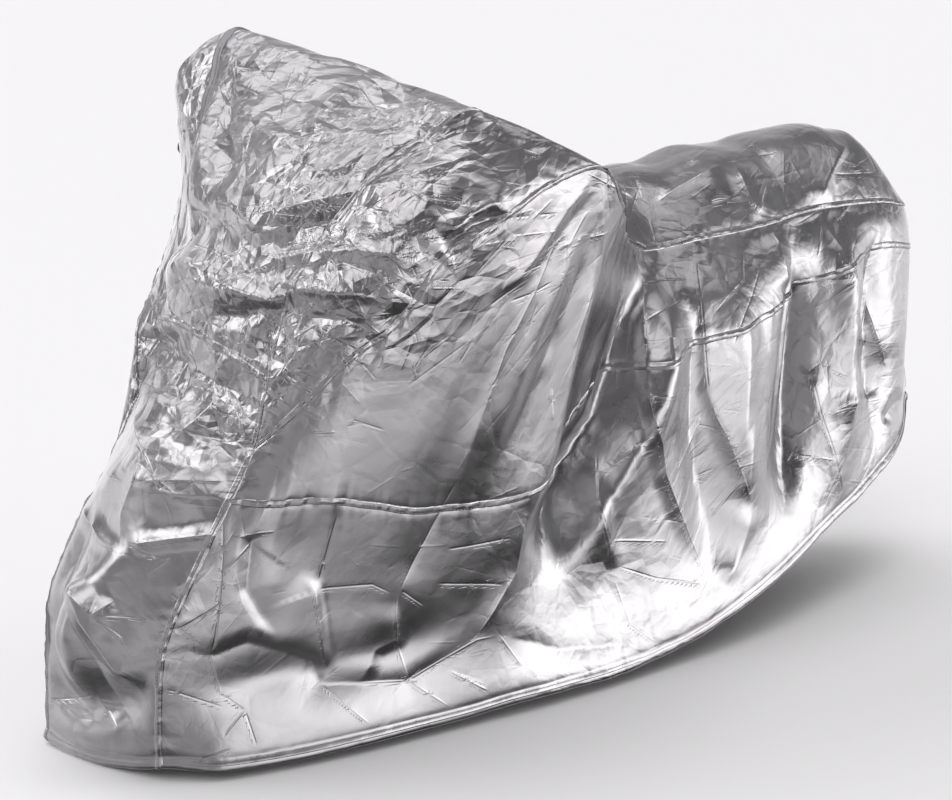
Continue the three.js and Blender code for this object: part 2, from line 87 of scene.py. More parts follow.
RIGHT_SECTIONS = [
    ("front seam", (-818, 182, 640), (-887, 181, 520), (-1050, 170, 8)),
    ("fork", (-796, 222, 752), (-838, 230, 525), (-940, 225, 14)),
    ("lamp", (-752, 258, 802), (-760, 275, 520), (-800, 250, 16)),
    ("lever", (-700, 300, 848), (-680, 300, 505), (-670, 262, 18)),
    ("clutch", (-644, 345, 910), (-610, 315, 490), (-560, 268, 19)),
    ("bar", (-590, 390, 980), (-530, 325, 480), (-450, 268, 20)),
    ("grip", (-558, 430, 1075), (-440, 330, 480), (-350, 268, 25)),
    ("grip end", (-530, 450, 1145), (-330, 325, 500), (-250, 266, 25)),
    ("behind grip", (-400, 425, 1130), (-210, 300, 555), (-140, 264, 24)),
    ("tank", (-140, 310, 1000), (-70, 285, 635), (-20, 262, 24)),
    ("seat", (137, 190, 890), (60, 285, 660), (110, 262, 33)),
    ("knee", (257, 185, 888), (200, 280, 690), (220, 260, 50)),
    ("foot", (467, 180, 895), (420, 260, 720), (400, 255, 110)),
    ("pillion", (631, 170, 905), (600, 230, 760), (560, 240, 170)),
    ("tail", (871, 140, 890), (840, 175, 790), (800, 195, 215)),
    ("tail corner", (1008, 90, 862), (1012, 108, 765), (1000, 125, 275)),
    ("back seam", (1066, -8, 850), (1092, -12, 755), (1154, -20, 356)),
]

# Seam of the front panel, hem to cheek tip, and seam between the top panel and a cheek, front to seat
LEFT_FRONT_SEAM = [
    (-965, -110, 26), (-983, -150, 178), (-977, -175, 297), (-919, -205, 440), (-868, -222, 543),
    (-819, -230, 632),
]
RIGHT_FRONT_SEAM = [
    (-1050, 170, 8), (-1032, 189, 180), (-1014, 195, 290), (-945, 188, 432), (-887, 181, 520),
    (-818, 182, 640),
]
LEFT_HOOD_SEAM = [
    (-819, -230, 632), (-790, -228, 745), (-758, -225, 846), (-725, -252, 940), (-672, -275, 1012),
    (-600, -306, 1100), (-532, -345, 1160), (-455, -382, 1203), (-300, -340, 1110), (-110, -255, 985),
    (137, -182, 867),
]
RIGHT_HOOD_SEAM = [
    (-818, 182, 640), (-772, 172, 785), (-730, 180, 850), (-695, 205, 910), (-655, 240, 990),
    (-612, 282, 1092), (-555, 318, 1195), (-468, 360, 1296), (-330, 310, 1190), (-100, 235, 1020),
    (137, 190, 890),
]

# Points of the front seam and stations of the sections where seams meet
LEVEL_POINT = 4
TIP_POINT = 5
FRONT_TOP_STATION = 1
SEAT_STATION = 10
CORNER_STATION = 15
BACK_STATION = 16

# Crown of the centre strip above its two seams: name, along X, up, and how square the arch is
STRIP_CROWN = [
    ("hem", -12, -16, 2.0),
    ("tyre", -45, 0, 2.0),
    ("wheel", -60, 0, 2.0),
    ("mudguard", -55, 0, 2.0),
    ("level", -60, 0, 2.0),
    ("cheek tip", -66, 12, 2.0),
    ("cross seam", -48, 45, 2.0),
    ("lamp", -70, 32, 2.2),
    ("lever", -75, 35, 2.2),
    ("screen", -75, 42, 2.4),
    ("screen top", -60, 40, 2.6),
    ("mirror stem", -30, 26, 2.8),
    ("mirrors", 0, 6, 2.8),
    ("clocks", 0, 0, 2.0),
    ("tank", 0, 40, 2.2),
    ("seat", 0, 108, 2.4),
    ("knee", 0, 126, 2.6),
    ("foot", 0, 134, 2.8),
    ("pillion", 0, 142, 2.8),
    ("tail", 4, 146, 2.6),
    ("tail corner", 62, -10, 2.0),
]

# Bulge of each cheek between its seams, one row per side section: along X, outward, up
LEFT_CHEEK_BULGE = [
    (0, 0, 0), (-6, 8, 4), (-14, 20, 6), (-22, 30, 10), (-26, 34, 14), (-22, 30, 14), (-10, 20, 5), (0, 8, 2),
    (20, -4, 6), (16, -8, -10), (0, 0, 0),
]
RIGHT_CHEEK_BULGE = [
    (0, 0, 0), (0, 6, 0), (0, 8, 0), (0, 8, 4), (0, 8, 6), (-6, 10, 10), (-26, 26, 14), (-30, 36, 8),
    (10, 20, 30), (16, 4, 0), (0, 0, 0),
]

# Faces that folds are drawn on: axes of a line on each, and the way its folds push the cloth
FACES = {
    "left": {"axes": (0, 2), "push": (0, -1, 0)},
    "right": {"axes": (0, 2), "push": (0, 1, 0)},
    "front": {"axes": (1, 2), "push": (-0.96, 0, 0.28)},
    "top": {"axes": (0, 1), "push": (0, 0, 1)},
}

# Main folds on the lines of the solids' folds: name, half width at the start and end, rise, and line on the
# face. Some on the left are softer than in the solids, and the rear flare is in this sheet alone
FOLDS = {
    "left": [
        ("fan before the grip", (32, 80), 8, [(-310, 1060), (-480, 700), (-640, 400)]),
        ("trough by the fan", (24, 58), -6, [(-270, 1060), (-430, 700), (-575, 390)]),
        ("fan from the grip", (28, 62), 14, [(-236, 1078), (-380, 715), (-505, 390)]),
        ("trough in the fan", (22, 48), -10, [(-205, 1050), (-310, 700), (-415, 360)]),
        ("fan behind the grip", (28, 60), 16, [(-168, 1020), (-235, 572), (-345, 290)]),
        ("deep trough", (40, 78), -76, [(66, 872), (-30, 551), (-140, 410), (-289, 190)]),
        ("trough edge", (34, 66), 36, [(130, 850), (66, 600), (-60, 400), (-190, 170)]),
        ("knee fold", (36, 60), -26, [(190, 850), (196, 500), (290, 110)]),
        ("foot fold", (40, 66), 25, [(300, 850), (330, 480), (400, 150)]),
        ("pillion trough", (40, 66), -54, [(560, 850), (530, 498), (500, 190)]),
        ("tail fold", (38, 64), 38, [(668, 870), (680, 625), (719, 260)]),
        ("tail trough", (34, 58), -36, [(800, 860), (820, 600), (868, 280)]),
        ("floor flare", (95, 95), 30, [(-1150, 16), (-560, 20), (-230, 34)]),
        ("rear flare", (95, 80), 38, [(-560, 20), (-230, 34), (110, 60), (405, 130), (680, 220)]),
        ("shelf trough", (44, 44), -18, [(-1000, 180), (-640, 190), (-300, 240)]),
        ("wheel trough", (46, 60), -16, [(-800, 560), (-690, 330), (-650, 160)]),
    ],
    "right": [
        ("fan before the grip", (30, 70), 28, [(-560, 1010), (-590, 700), (-700, 330)]),
        ("fan from the grip", (28, 66), -28, [(-520, 1110), (-470, 700), (-520, 330)]),
        ("fan behind the grip", (28, 70), 40, [(-490, 1100), (-330, 640), (-330, 260)]),
        ("tank trough", (40, 74), -50, [(-40, 900), (-110, 580), (-210, 200)]),
        ("knee fold", (36, 70), 34, [(150, 860), (70, 520), (20, 130)]),
        ("foot trough", (40, 66), -30, [(330, 860), (330, 520), (300, 120)]),
        ("foot fold", (40, 66), 32, [(450, 860), (470, 520), (480, 170)]),
        ("pillion trough", (38, 62), -34, [(620, 870), (600, 560), (640, 230)]),
        ("tail fold", (38, 60), 34, [(760, 870), (770, 600), (800, 250)]),
        ("floor flare", (92, 92), 26, [(-1180, 16), (-560, 22), (-120, 34)]),
        ("shelf trough", (42, 42), -16, [(-1000, 215), (-560, 190), (-220, 240)]),
    ],
    "front": [
        ("cross seam shelf", (38, 44), -28, [(-340, 660), (-40, 745), (280, 725)]),
        ("mudguard fold", (40, 44), 22, [(-300, 500), (-20, 560), (260, 440)]),
        ("tyre fold", (40, 46), 22, [(-130, 520), (20, 300), (70, 90)]),
        ("tyre trough", (32, 40), -20, [(100, 500), (120, 300), (160, 110)]),
        ("hem trough", (40, 46), -30, [(-180, 200), (40, 120), (260, 135)]),
        ("brow", (36, 42), 22, [(-340, 850), (-20, 915), (270, 865)]),
        ("brow trough", (36, 40), -16, [(-360, 930), (-40, 985), (290, 930)]),
        ("right mirror pull", (30, 60), 18, [(350, 1285), (190, 1090), (20, 940)]),
        ("right screen trough", (30, 56), -18, [(330, 1240), (130, 1130), (-120, 1040)]),
        ("left mirror pull", (30, 56), 18, [(-375, 1190), (-240, 1080), (-90, 1010)]),
    ],
    "top": [
        ("clocks dip", (60, 60), -30, [(-350, -400), (-320, 0), (-335, 400)]),
        ("tank fold", (50, 50), 20, [(-260, -350), (-60, 20), (-200, 360)]),
        ("seat trough", (38, 46), -12, [(110, -300), (300, -60), (345, 260)]),
        ("seat fold", (36, 44), 10, [(280, -290), (430, -20), (385, 260)]),
        ("pillion trough", (36, 40), -10, [(570, -280), (540, 0), (620, 250)]),
        ("tail trough", (32, 36), -12, [(780, -250), (840, 0), (795, 230)]),
    ],
}

# Where folds fade beside seams, the row of the strip from which its folds are the top's, how soft a side
# turns at its level seam, and how many stations the shape of the front seam reaches
FADE_HEIGHT = 0.4
FADE_STATIONS = 1.0
FADE_POWER = 6
FRONT_FOLDS_END = 12
LEVEL_SOFTNESS = 0.5
FRONT_SEAM_REACH = 2.5

# Share of a fold's line over which it rises at its start and dies away at its end
FOLD_START = 0.3
FOLD_END = 0.4

# Creases seen from the main view, read in the photo: name, reach of the facets to the left and right
# of the line and rise of the cloth in millimetres, and the line in pixels from the photo's top left corner
CREASES = [
    ("first dark facet", (94, 31), -9, [(277, 531), (252, 543), (247, 591), (262, 616), (284, 646)]),
    ("first facet ridge", (30, 94), 10, [(296, 574), (312, 588), (325, 675)]),
    ("second facet ridge", (30, 106), 8, [(396, 602), (394, 638), (374, 648), (360, 688)]),
    ("flare edge", (38, 94), -9, [(160, 642), (213, 658), (250, 645), (310, 661), (322, 684), (410, 682),
     (477, 640), (499, 635)]),
    ("rear flare edge", (38, 75), -6, [(499, 635), (560, 650), (642, 642)]),
    ("side facet", (88, 38), 6, [(527, 509), (514, 572), (494, 608), (477, 637)]),
    ("bar facet", (75, 75), -5, [(458, 480), (440, 516), (400, 591)]),
    ("knee ridge", (119, 30), 10, [(642, 258), (644, 322), (648, 364), (651, 401), (664, 474), (687, 535),
     (716, 600)]),
    ("foot ridge", (94, 35), 8, [(697, 256), (702, 322), (706, 374), (709, 397), (727, 437), (743, 476),
     (752, 503)]),
    ("foot facet end", (42, 75), 12, [(752, 503), (724, 590)]),
    ("valley lip", (30, 75), 10, [(772, 231), (785, 268), (793, 290)]),
    ("pillion valley", (40, 40), -14, [(796, 214), (793, 300), (785, 400), (786, 530)]),
    ("tail ridge", (112, 75), 15, [(824, 221), (839, 252), (849, 277), (870, 318), (888, 372)]),
    ("tail foot", (56, 56), 10, [(809, 360), (820, 415), (832, 453), (843, 507)]),
    ("tail pocket", (30, 30), -12, [(884, 426), (898, 405), (908, 392)]),
    ("tail cross", (30, 45), 8, [(822, 416), (850, 402), (888, 398)]),
    ("grip line", (38, 30), 4, [(603, 173), (600, 294), (584, 343)]),
    ("grip soft line", (35, 30), 3, [(565, 209), (567, 287), (552, 352)]),
    ("overhang edge", (30, 75), 10, [(596, 172), (564, 209), (518, 277), (489, 300)]),
    ("overhang pocket", (30, 30), -18, [(444, 256), (475, 226), (512, 214)]),
    ("overhang ridge", (62, 30), 17, [(440, 238), (470, 216), (490, 203), (508, 216)]),
    ("fan ridge", (32, 55), 4, [(561, 219), (552, 246), (532, 293), (504, 350), (480, 420), (455, 500)]),
    ("rear fan ridge", (30, 45), 3, [(560, 330), (535, 380), (505, 500)]),
    ("valley edge", (30, 55), 8, [(597, 453), (598, 498), (609, 544), (614, 575)]),
    ("seat facet", (30, 75), 8, [(656, 202), (723, 163)]),
    ("seat crease", (30, 32), 7, [(737, 167), (747, 194), (762, 219)]),
    ("tail top edge", (38, 69), 12, [(848, 136), (825, 183), (820, 209)]),
    ("brow", (75, 100), 9, [(214, 236), (310, 202), (393, 184), (484, 150)]),
    ("hood facet", (50, 50), 7, [(354, 82), (322, 107), (308, 161)]),
    ("hood trough", (45, 45), -8, [(424, 117), (422, 144), (372, 184)]),
    ("hood foot", (75, 32), 15, [(198, 285), (260, 300), (306, 291), (413, 297)]),
    ("foot pocket", (32, 32), -15, [(205, 316), (240, 320), (268, 303)]),
    ("foot rear pocket", (32, 42), -13, [(300, 315), (340, 320), (372, 332)]),
    ("cheek ridge", (32, 30), 9, [(250, 268), (300, 254), (360, 250), (400, 256), (425, 272)]),
    ("front first valley", (30, 38), -10, [(139, 335), (174, 347)]),
    ("front spine", (30, 62), -10, [(168, 320), (174, 347), (186, 372), (179, 398)]),
    ("front cross valley", (56, 30), -9, [(132, 375), (145, 382), (179, 398), (214, 406)]),
    ("front tooth", (42, 30), 10, [(186, 375), (227, 386)]),
    ("front tooth edge", (42, 42), 9, [(227, 386), (214, 406), (172, 443)]),
    ("front seam ridge", (35, 56), 9, [(201, 340), (217, 359), (228, 386), (242, 422), (247, 442)]),
    ("front seam valley", (30, 30), -8, [(214, 406), (218, 445), (239, 465)]),
    ("front edge", (81, 56), 15, [(132, 404), (147, 453), (138, 484), (118, 549)]),
    ("front shelf", (42, 81), 10, [(139, 483), (227, 481)]),
    ("front fold", (30, 30), 10, [(126, 541), (139, 544), (172, 539), (220, 533)]),
    ("front right fold", (30, 30), 8, [(81, 501), (102, 539), (118, 554)]),
    ("front foot ridge", (38, 50), 12, [(68, 582), (95, 614), (115, 600)]),
    ("front valley", (80, 100), -15, [(55, 584), (64, 620), (101, 685), (129, 721), (147, 737)]),
    ("front valley rim", (80, 40), 18, [(75, 560), (82, 620), (118, 668), (150, 690)]),
]

# Share of a crease's line that tapers at each end, how hollow its facets are, and how far cloth has to face
# the main view to take its creases
CREASE_TAPER = 0.25
CREASE_POWER = 1.7
CREASE_FACING = (0.12, 0.45)

# Thin creases, read in the same way: 1 for a ridge or -1 for a groove, and the line in pixels or the name of
# the main crease that it runs along
THIN_CREASES = {
    "hood": [
        (1, [(233, 63), (236, 103)]), (1, [(248, 45), (221, 74)]),
        (1, [(296, 61), (284, 91), (280, 115), (256, 136)]), (1, [(310, 67), (287, 88)]),
        (-1, [(256, 76), (233, 120)]), (1, [(225, 97), (225, 132)]), (1, [(235, 116), (273, 111)]),
        (1, "hood facet"), (1, [(350, 119), (289, 144)]), (-1, [(354, 78), (393, 130)]),
        (1, [(381, 107), (352, 144), (308, 165)]), (-1, "hood trough"), (1, [(440, 136), (476, 153)]),
        (1, [(213, 227), (310, 202), (393, 184), (484, 150)]), (-1, [(352, 219), (405, 190), (466, 163)]),
        (1, [(242, 192), (225, 215), (211, 234)]),
    ],
    "foot of the hood": [
        (-1, [(224, 238), (201, 277), (181, 321)]), (-1, [(158, 296), (185, 279), (203, 277)]),
        (-1, [(205, 296), (226, 337), (235, 352)]), (1, [(353, 273), (355, 296), (367, 323), (384, 337)]),
        (-1, [(396, 261), (415, 302)]), (1, [(369, 269), (398, 296)]), (-1, [(321, 329), (359, 352)]),
        (1, [(284, 375), (315, 395)]), (1, [(263, 383), (292, 410)]), (1, [(309, 433), (336, 432)]),
    ],
    "front": [
        (-1, "front first valley"), (-1, "front spine"), (-1, [(145, 354), (174, 348)]),
        (-1, [(153, 365), (182, 371)]), (-1, "front cross valley"), (-1, "front tooth"),
        (1, "front tooth edge"), (1, "front seam ridge"), (-1, "front seam valley"), (1, "front edge"),
        (-1, [(147, 453), (175, 524)]), (1, "front shelf"), (1, [(121, 431), (145, 455)]),
        (1, "front fold"), (1, [(129, 543), (158, 560)]), (1, "front right fold"),
    ],
    "front foot": [
        (1, "front foot ridge"), (-1, [(95, 614), (148, 619)]), (1, [(95, 616), (126, 641)]),
        (1, [(92, 700), (106, 714), (117, 735)]), (-1, [(49, 699), (90, 698)]),
        (-1, [(165, 689), (224, 707)]), (-1, [(245, 710), (223, 738)]), (-1, [(245, 710), (257, 746)]),
        (-1, [(217, 692), (229, 699), (245, 710)]), (-1, [(198, 761), (231, 749)]),
        (1, [(213, 655), (221, 696)]), (-1, [(218, 622), (213, 653)]),
        (-1, [(152, 633), (181, 628), (212, 610), (223, 602)]),
    ],
    "lower side": [
        (-1, [(338, 514), (316, 588)]), (1, [(312, 589), (326, 669)]), (-1, "bar facet"),
        (1, [(400, 591), (394, 637), (410, 681), (453, 709)]), (1, "side facet"),
        (-1, [(317, 588), (373, 585), (392, 594)]), (-1, [(223, 516), (223, 560), (220, 601), (215, 654)]),
        (1, [(228, 539), (276, 531)]), (1, [(220, 574), (252, 545)]), (-1, [(446, 550), (514, 538)]),
        (-1, [(436, 584), (504, 584)]), (1, [(358, 684), (410, 682), (477, 640), (499, 635)]),
        (1, [(322, 684), (371, 725)]), (1, [(450, 671), (489, 691)]), (1, [(499, 635), (523, 667)]),
        (-1, [(402, 591), (424, 606)]),
    ],
    "fan": [
        (1, [(561, 219), (552, 246), (532, 293), (504, 350), (480, 420)]), (-1, [(566, 233), (565, 296)]),
        (1, [(595, 285), (574, 350)]), (1, [(626, 295), (615, 339)]), (1, [(554, 326), (519, 378)]),
        (-1, [(537, 302), (526, 337)]), (1, [(589, 209), (567, 248)]), (1, [(630, 202), (607, 237)]),
        (-1, [(607, 167), (609, 219)]), (1, [(552, 389), (553, 420)]),
    ],
    "rear side": [
        (1, "knee ridge"), (-1, [(697, 256), (702, 322), (706, 374), (709, 397)]),
        (1, [(709, 397), (716, 417), (727, 437), (743, 476), (752, 503)]), (1, [(743, 480), (709, 517)]),
        (1, [(605, 469), (655, 435)]), (-1, "valley edge"), (1, [(609, 540), (669, 541)]),
        (-1, [(617, 566), (657, 578), (705, 584)]), (1, [(614, 580), (630, 623), (657, 643)]),
        (1, [(705, 410), (673, 474)]), (1, [(700, 417), (691, 437)]), (1, [(644, 281), (689, 279)]),
        (1, [(644, 322), (679, 299)]), (-1, [(743, 252), (743, 281), (714, 314)]),
        (-1, [(760, 268), (750, 301), (733, 347)]), (1, [(772, 231), (785, 268), (791, 285)]),
    ],
    "tail": [
        (1, "tail ridge"), (1, [(823, 225), (817, 258)]), (1, [(859, 194), (835, 223)]),
        (-1, [(830, 175), (876, 173)]), (-1, "tail foot"), (1, [(820, 419), (793, 440)]),
        (1, [(793, 455), (832, 459)]), (-1, [(823, 412), (884, 399)]), (-1, [(837, 442), (881, 406)]),
    ],
    "seat": [
        (1, "seat facet"), (1, "seat crease"), (1, [(768, 185), (760, 212)]),
        (-1, [(710, 204), (743, 195)]), (1, [(677, 150), (692, 160), (712, 144)]),
        (1, [(789, 156), (812, 198)]), (-1, [(776, 152), (735, 161)]),
    ],
}

# Taper of a thin crease, its reach and rise in the sheet, and the distances over which it stops to count
THIN_TAPER = 0.15
THIN_REACH = 10.0
THIN_RISE = 0.4
THIN_NEAR = (5.0, 9.0)

# Areas of short thin creases, in millimetres on the plane of the main view: name, share, middle, spread, how
# many, length, slope in degrees or the point they run to, and spread of the slope in degrees
SHORT_CREASES = [
    ("hood", 1.3, (-330, 560), (170, 90), 80, (25, 120), 40, 32),
    ("hood edge", 1.3, (-120, 340), (210, 80), 120, (25, 130), (330, 425), 16),
    ("hood foot", 1.2, (-420, 215), (110, 60), 60, (20, 80), 75, 30),
    ("under the foot", 1.0, (-300, 130), (120, 45), 36, (20, 70), 50, 35),
    ("front", 0.5, (-560, -120), (90, 250), 46, (25, 110), 20, 45),
    ("upper side", 0.6, (-320, 0), (110, 50), 16, (25, 80), -25, 22),
    ("lower side", 0.25, (-60, -330), (160, 90), 22, (20, 80), 12, 30),
    ("fan", 0.4, (130, 130), (110, 150), 40, (40, 170), (330, 425), 7),
    ("rear side", 0.5, (430, -60), (110, 220), 56, (20, 90), 28, 30),
    ("tail", 0.7, (800, 150), (80, 200), 54, (20, 90), 35, 36),
    ("seat", 0.7, (560, 460), (160, 60), 34, (25, 100), 40, 34),
    ("hem", 0.25, (-40, -540), (380, 50), 46, (20, 90), 22, 34),
]
SHORT_SEED = 7
SHORT_SHARE = (0.35, 1.0)

# Panels that take the left side's creases, mirrored and moved
MIRRORED = ("right_lower_side", "right_upper_side")
MIRROR_MOVE = np.array([70.0, 0.0, -30.0])

# Spare cloth by zone: its share of extra length along a panel's rows and across them, which gathers into
# wrinkles, the height of the random start that they grow from, and how far facets stretch along a pull, with
# the weight of a zone and a slow sway of the places that facets are made on
Zone = namedtuple("Zone", "name place reach along across crumple pull stretch")
SPARE_REST = {"along": 0.01, "across": 0.008, "crumple": 0.26}
SPARE_ZONES = [Zone(*row) for row in [
    ("hood face", (-770, 0, 960), 230, 0.02, 0.02, 1.7, (-0.52, -0.62, -0.58), 2.6),
    ("hood foot", (-800, -120, 800), 140, 0.03, 0.03, 1.3, (-0.35, -0.1, -0.93), 2.2),
    ("left cheek", (-600, -330, 960), 140, 0.022, 0.02, 1.3, (0.35, -0.53, -0.77), 4.0),
    ("hood top", (-520, 0, 1200), 260, 0.02, 0.02, 1.5, (0.1, -0.98, -0.15), 4.0),
    ("front top", (-900, -20, 560), 170, 0.012, 0.012, 0.34, (-0.2, 0.0, -0.98), 1.6),
    ("front foot", (-1030, 40, 180), 200, 0.01, 0.01, 0.26, (0.0, 1.0, 0.0), 1.6),
    ("left wheel", (-650, -240, 300), 280, 0.002, 0.002, 0.1, (-0.6, 0.0, -0.8), 1.8),
    ("left shoulder", (-600, -330, 640), 170, 0.002, 0.002, 0.08, (0.6, 0.0, -0.8), 1.8),
    ("left fan", (-330, -390, 760), 230, 0.006, 0.003, 0.18, (-0.46, 0.07, -0.87), 3.0),
    ("left knee", (150, -270, 480), 280, 0.01, 0.009, 0.32, (0.59, -0.22, 0.73), 3.4),
    ("left tail", (850, -180, 560), 230, 0.012, 0.01, 0.42, (0.75, -0.42, 0.48), 2.6),
    ("seat", (450, 0, 1020), 260, 0.008, 0.008, 0.42, (0.95, 0.3, 0.0), 2.0),
    ("right wheel", (-650, 260, 300), 260, 0.004, 0.004, 0.12, (-0.6, 0.0, -0.8), 1.8),
    ("right fan", (-430, 370, 760), 230, 0.008, 0.006, 0.2, (-0.2, 0.0, -0.98), 3.0),
    ("right knee", (180, 270, 480), 280, 0.008, 0.007, 0.2, (0.59, 0.22, 0.73), 2.8),
]]
ZONE_WEIGHT = 6.0
SWAY = 14.0
SWAY_LENGTHS = (83.0, 97.0, 71.0)

# Random facets: cell, rise and seed of each layer, their mean height, and the warp and lattice behind them
FACET_LAYERS = [(150.0, 14.0, 11), (66.0, 8.0, 23), (32.0, 1.6, 37)]
FACET_MEAN = 0.23
WARP_RISE = 9.0
WARP_LENGTH = 70.0
LATTICE_PRIMES = (73856093, 19349663, 83492791)
LATTICE_SPREAD = 1274126177
LATTICE_BITS = 32
LATTICE_SHIFTS = (13, 16)

# Relaxing of the cloth: grid strides from coarse to fine with rounds at each, its small forces and its limits
RELAX_LEVELS = [(4, 60), (2, 40), (1, 30)]
BEND_SHARE = 0.25
CREASE_BEND = 0.6
HOLD_SHARE = 0.004
DEEPEST = -14.0
HIGHEST = 22.0
SHORTEST_THREAD = 1e-6

# Least length that a direction is divided by, and the digits at which points of two panels count as one
TINY = 1e-9
WELD_DIGITS = 2

# Pucker beside the seams, as layers of facets with cell along the seam, rise, reach and seed, the ditch at a
# seam, and how calm the cloth is near it
PUCKER_LAYERS = [(26.0, 2.6, 30.0, 53), (13.0, 1.6, 16.0, 71)]
DITCH_DEPTH = 1.6
DITCH_REACH = 9.0
SEAM_CALM = 30.0
SEAM_SHARE = 0.4

# Coating, in metres: names of the values on its points, layers of its bump as cell, turn and rise or as scale
# and rise, its thin creases with the highlight and shade painted along them, weave, wear, roughness and
# colours
CRUMPLE = "crumple"
PULLED = "pulled_place"
THIN_FAR = "thin_crease_distance"
THIN_SHARE = "thin_crease_share"
NO_THIN_CREASE = (1.0, 0.0)
CRUMPLE_MOST = 1.9
CRUMPLE_POWER = 1.8
CRUMPLE_LAYERS = [(0.075, (0.3, 0.5, 0.9), 0.013), (0.033, (1.1, -0.4, 2.2), 0.0036)]
WRINKLE_STEEP = 4.0
WRINKLE_DETAIL = 1
NOISE_MIDDLE = 0.5
WRINKLE_LAYERS = [(15.0, 0.0042), (36.0, 0.001)]
THIN_HALF = 0.0034
THIN_HEIGHT = 0.0005
# Painted highlight along thin ridges and painted shade along thin grooves: how far a crease's share moves the
# coating's colour
THIN_PAINTED_LIGHT = 0.5
WEAVE_SCALE = 700.0
WEAVE_RISE = 0.0001
WEAVE_DETAIL = 1
WEAR_SCALE = 9.0
WEAR_DETAIL = 4
WEAR_SPAN = (0.3, 0.7)
ROUGHNESS = (0.25, 0.35)
COATING_DARK = (0.34, 0.335, 0.34)
COATING_LIGHT = (0.40, 0.395, 0.401)
METALLIC = 0.95
THREAD_SCALE = 900.0
THREAD_DETAIL = 2
THREAD_DARK = (0.22, 0.22, 0.22)
THREAD_LIGHT = (0.42, 0.42, 0.42)
THREAD_ROUGHNESS = 0.6

# Seam band: lines across it as distance from the seam and lift off the cloth, how many lines of the grid
# it is read from, how finely it is cut along the seam, and the ladder of puckers that its stitches pull
BAND_LINES = 5
BAND_PROFILE = [(8.5, -0.8), (6.6, 0.9), (4.6, 1.3), (2.2, 1.9), (0.0, 2.1)]
BAND_FINENESS = 2
LADDER_CELL = 13.0
LADDER_RISE = 1.1
LADDER_SEED = 91

# Tapes that lie smooth over a seam: lines across them as in the band, and name, seam, start and end of each
TAPE_PROFILE = [(13.0, -0.8), (12.0, 1.6), (7.0, 2.4), (0.0, 2.9)]
TAPES = [
    ("right_hood", "right_hood", 0.0, 0.72),
    ("left_grip", "left_hood", 0.74, 1.0),
]
TAPE_CRUMPLE = 0.05
TAPE_DARK = (0.24, 0.235, 0.245)
TAPE_LIGHT = (0.29, 0.285, 0.295)
TAPE_ROUGHNESS = (0.48, 0.56)

# Stitches: the line of the band that carries them, length, pitch, half width, and how far they stand out
STITCH_COLUMN = 2
STITCH_LENGTH = 4.6
STITCH_PITCH = 7.0
STITCH_HALF = 0.55
STITCH_LIFT = 0.5
STITCH_SINK = 0.8
HEM_STITCH_HEIGHT = 23.0
HEM_LINES = 15

# Hem: height of the folded edge, how far its roll stands out, and the lip turned inside
HEM_HEIGHT = 24.0
HEM_ROLL = 4.2
HEM_LIP = [(3.0, 0.0), (6.5, 4.0), (6.5, 18.0)]

# Floor, in metres
FLOOR_HALF = 80.0
FLOOR_COLOUR = (0.8, 0.8, 0.8)
FLOOR_ROUGHNESS = 0.9

# Light: glow of the studio's dome, and its soft lights and dark flags: name, azimuth, elevation, angles from
# there to the edge and to the full light in degrees, and the glow it adds
DOME_GLOW = 0.08
DOME_LEAST = 0.04
DOME_TINT = (1.0, 0.985, 1.0)
DOME_LIGHTS = [
    ("near floor", 0, 90, 154, 122, 0.88),
    ("far floor", 0, 90, 111, 97, 0.5),
    ("dark walls", 0, 90, 92, 78, -1.22),
    ("ceiling", 0, 90, 26, 14, 2.6),
    ("right box", 98, 42, 20, 10, 2.0),
    ("back wall", 58, 12, 45, 18, 0.45),
    ("front box", 148, 32, 22, 12, 3.2),
    ("key box", 211, 43, 28, 14, 2.2),
    ("left band", 282, -14, 27, 10, 1.2),
    ("left floor", 272, -44, 30, 12, 0.3),
    ("rear box", 318, -4, 33, 12, 2.6),
    ("rear ceiling", 325, 58, 22, 13, 1.0),
    ("fan flag", 316, -34, 40, 18, -0.85),
    ("rear flag", 318, 26, 26, 10, -0.25),
    ("front flag", 168, -12, 34, 12, -0.6),
    ("camera flag", 232, 0, 45, 18, -0.7),
]


def spline(points, number):
    """Smooth curve through points, read at point numbers that may lie between two of them."""
    place = np.asarray(points, float)
    last = len(place) - 1
    number = np.clip(np.asarray(number, float), 0, last)
    index = np.minimum(number.astype(int), last - 1)
    share = (number - index)[..., None]
    here = place[index]
    ahead = place[index + 1]
    before = np.where((index == 0)[..., None], 2 * here - ahead, place[np.maximum(index - 1, 0)])
    after = np.where((index == last - 1)[..., None], 2 * ahead - here, place[np.minimum(index + 2, last)])
    cubic = 3 * (here - ahead) + after - before
    square = 2 * before - 5 * here + 4 * ahead - after
    return here + 0.5 * share * (ahead - before + share * (square + share * cubic))


def smoothstep(value, low, high):
    share = np.clip((value - low) / (high - low), 0, 1)
    return share * share * (3 - 2 * share)


def tapered(along, start, end):
    """Share of a line's height: it rises over its first part and dies away over its last."""
    return smoothstep(along, 0, start) * smoothstep(1 - along, 0, end)


def unit(vectors):
    length = np.linalg.norm(vectors, axis=-1, keepdims=True)
    return vectors / np.maximum(length, TINY)


class Side:
    """Seams and sections of one side of the cover."""

    def __init__(self, face, sections, front_seam, hood_seam, bulge, outward):
        self.face = face
        _, self.top, self.level, self.hem = zip(*sections)
        self.front_seam = front_seam
        self.hood_seam = hood_seam
        self.bulge = bulge
        self.outward = outward


LEFT = Side("left", LEFT_SECTIONS, LEFT_FRONT_SEAM, LEFT_HOOD_SEAM, LEFT_CHEEK_BULGE, -1)
RIGHT = Side("right", RIGHT_SECTIONS, RIGHT_FRONT_SEAM, RIGHT_HOOD_SEAM, RIGHT_CHEEK_BULGE, 1)
CROWN = [row[1:] for row in STRIP_CROWN]


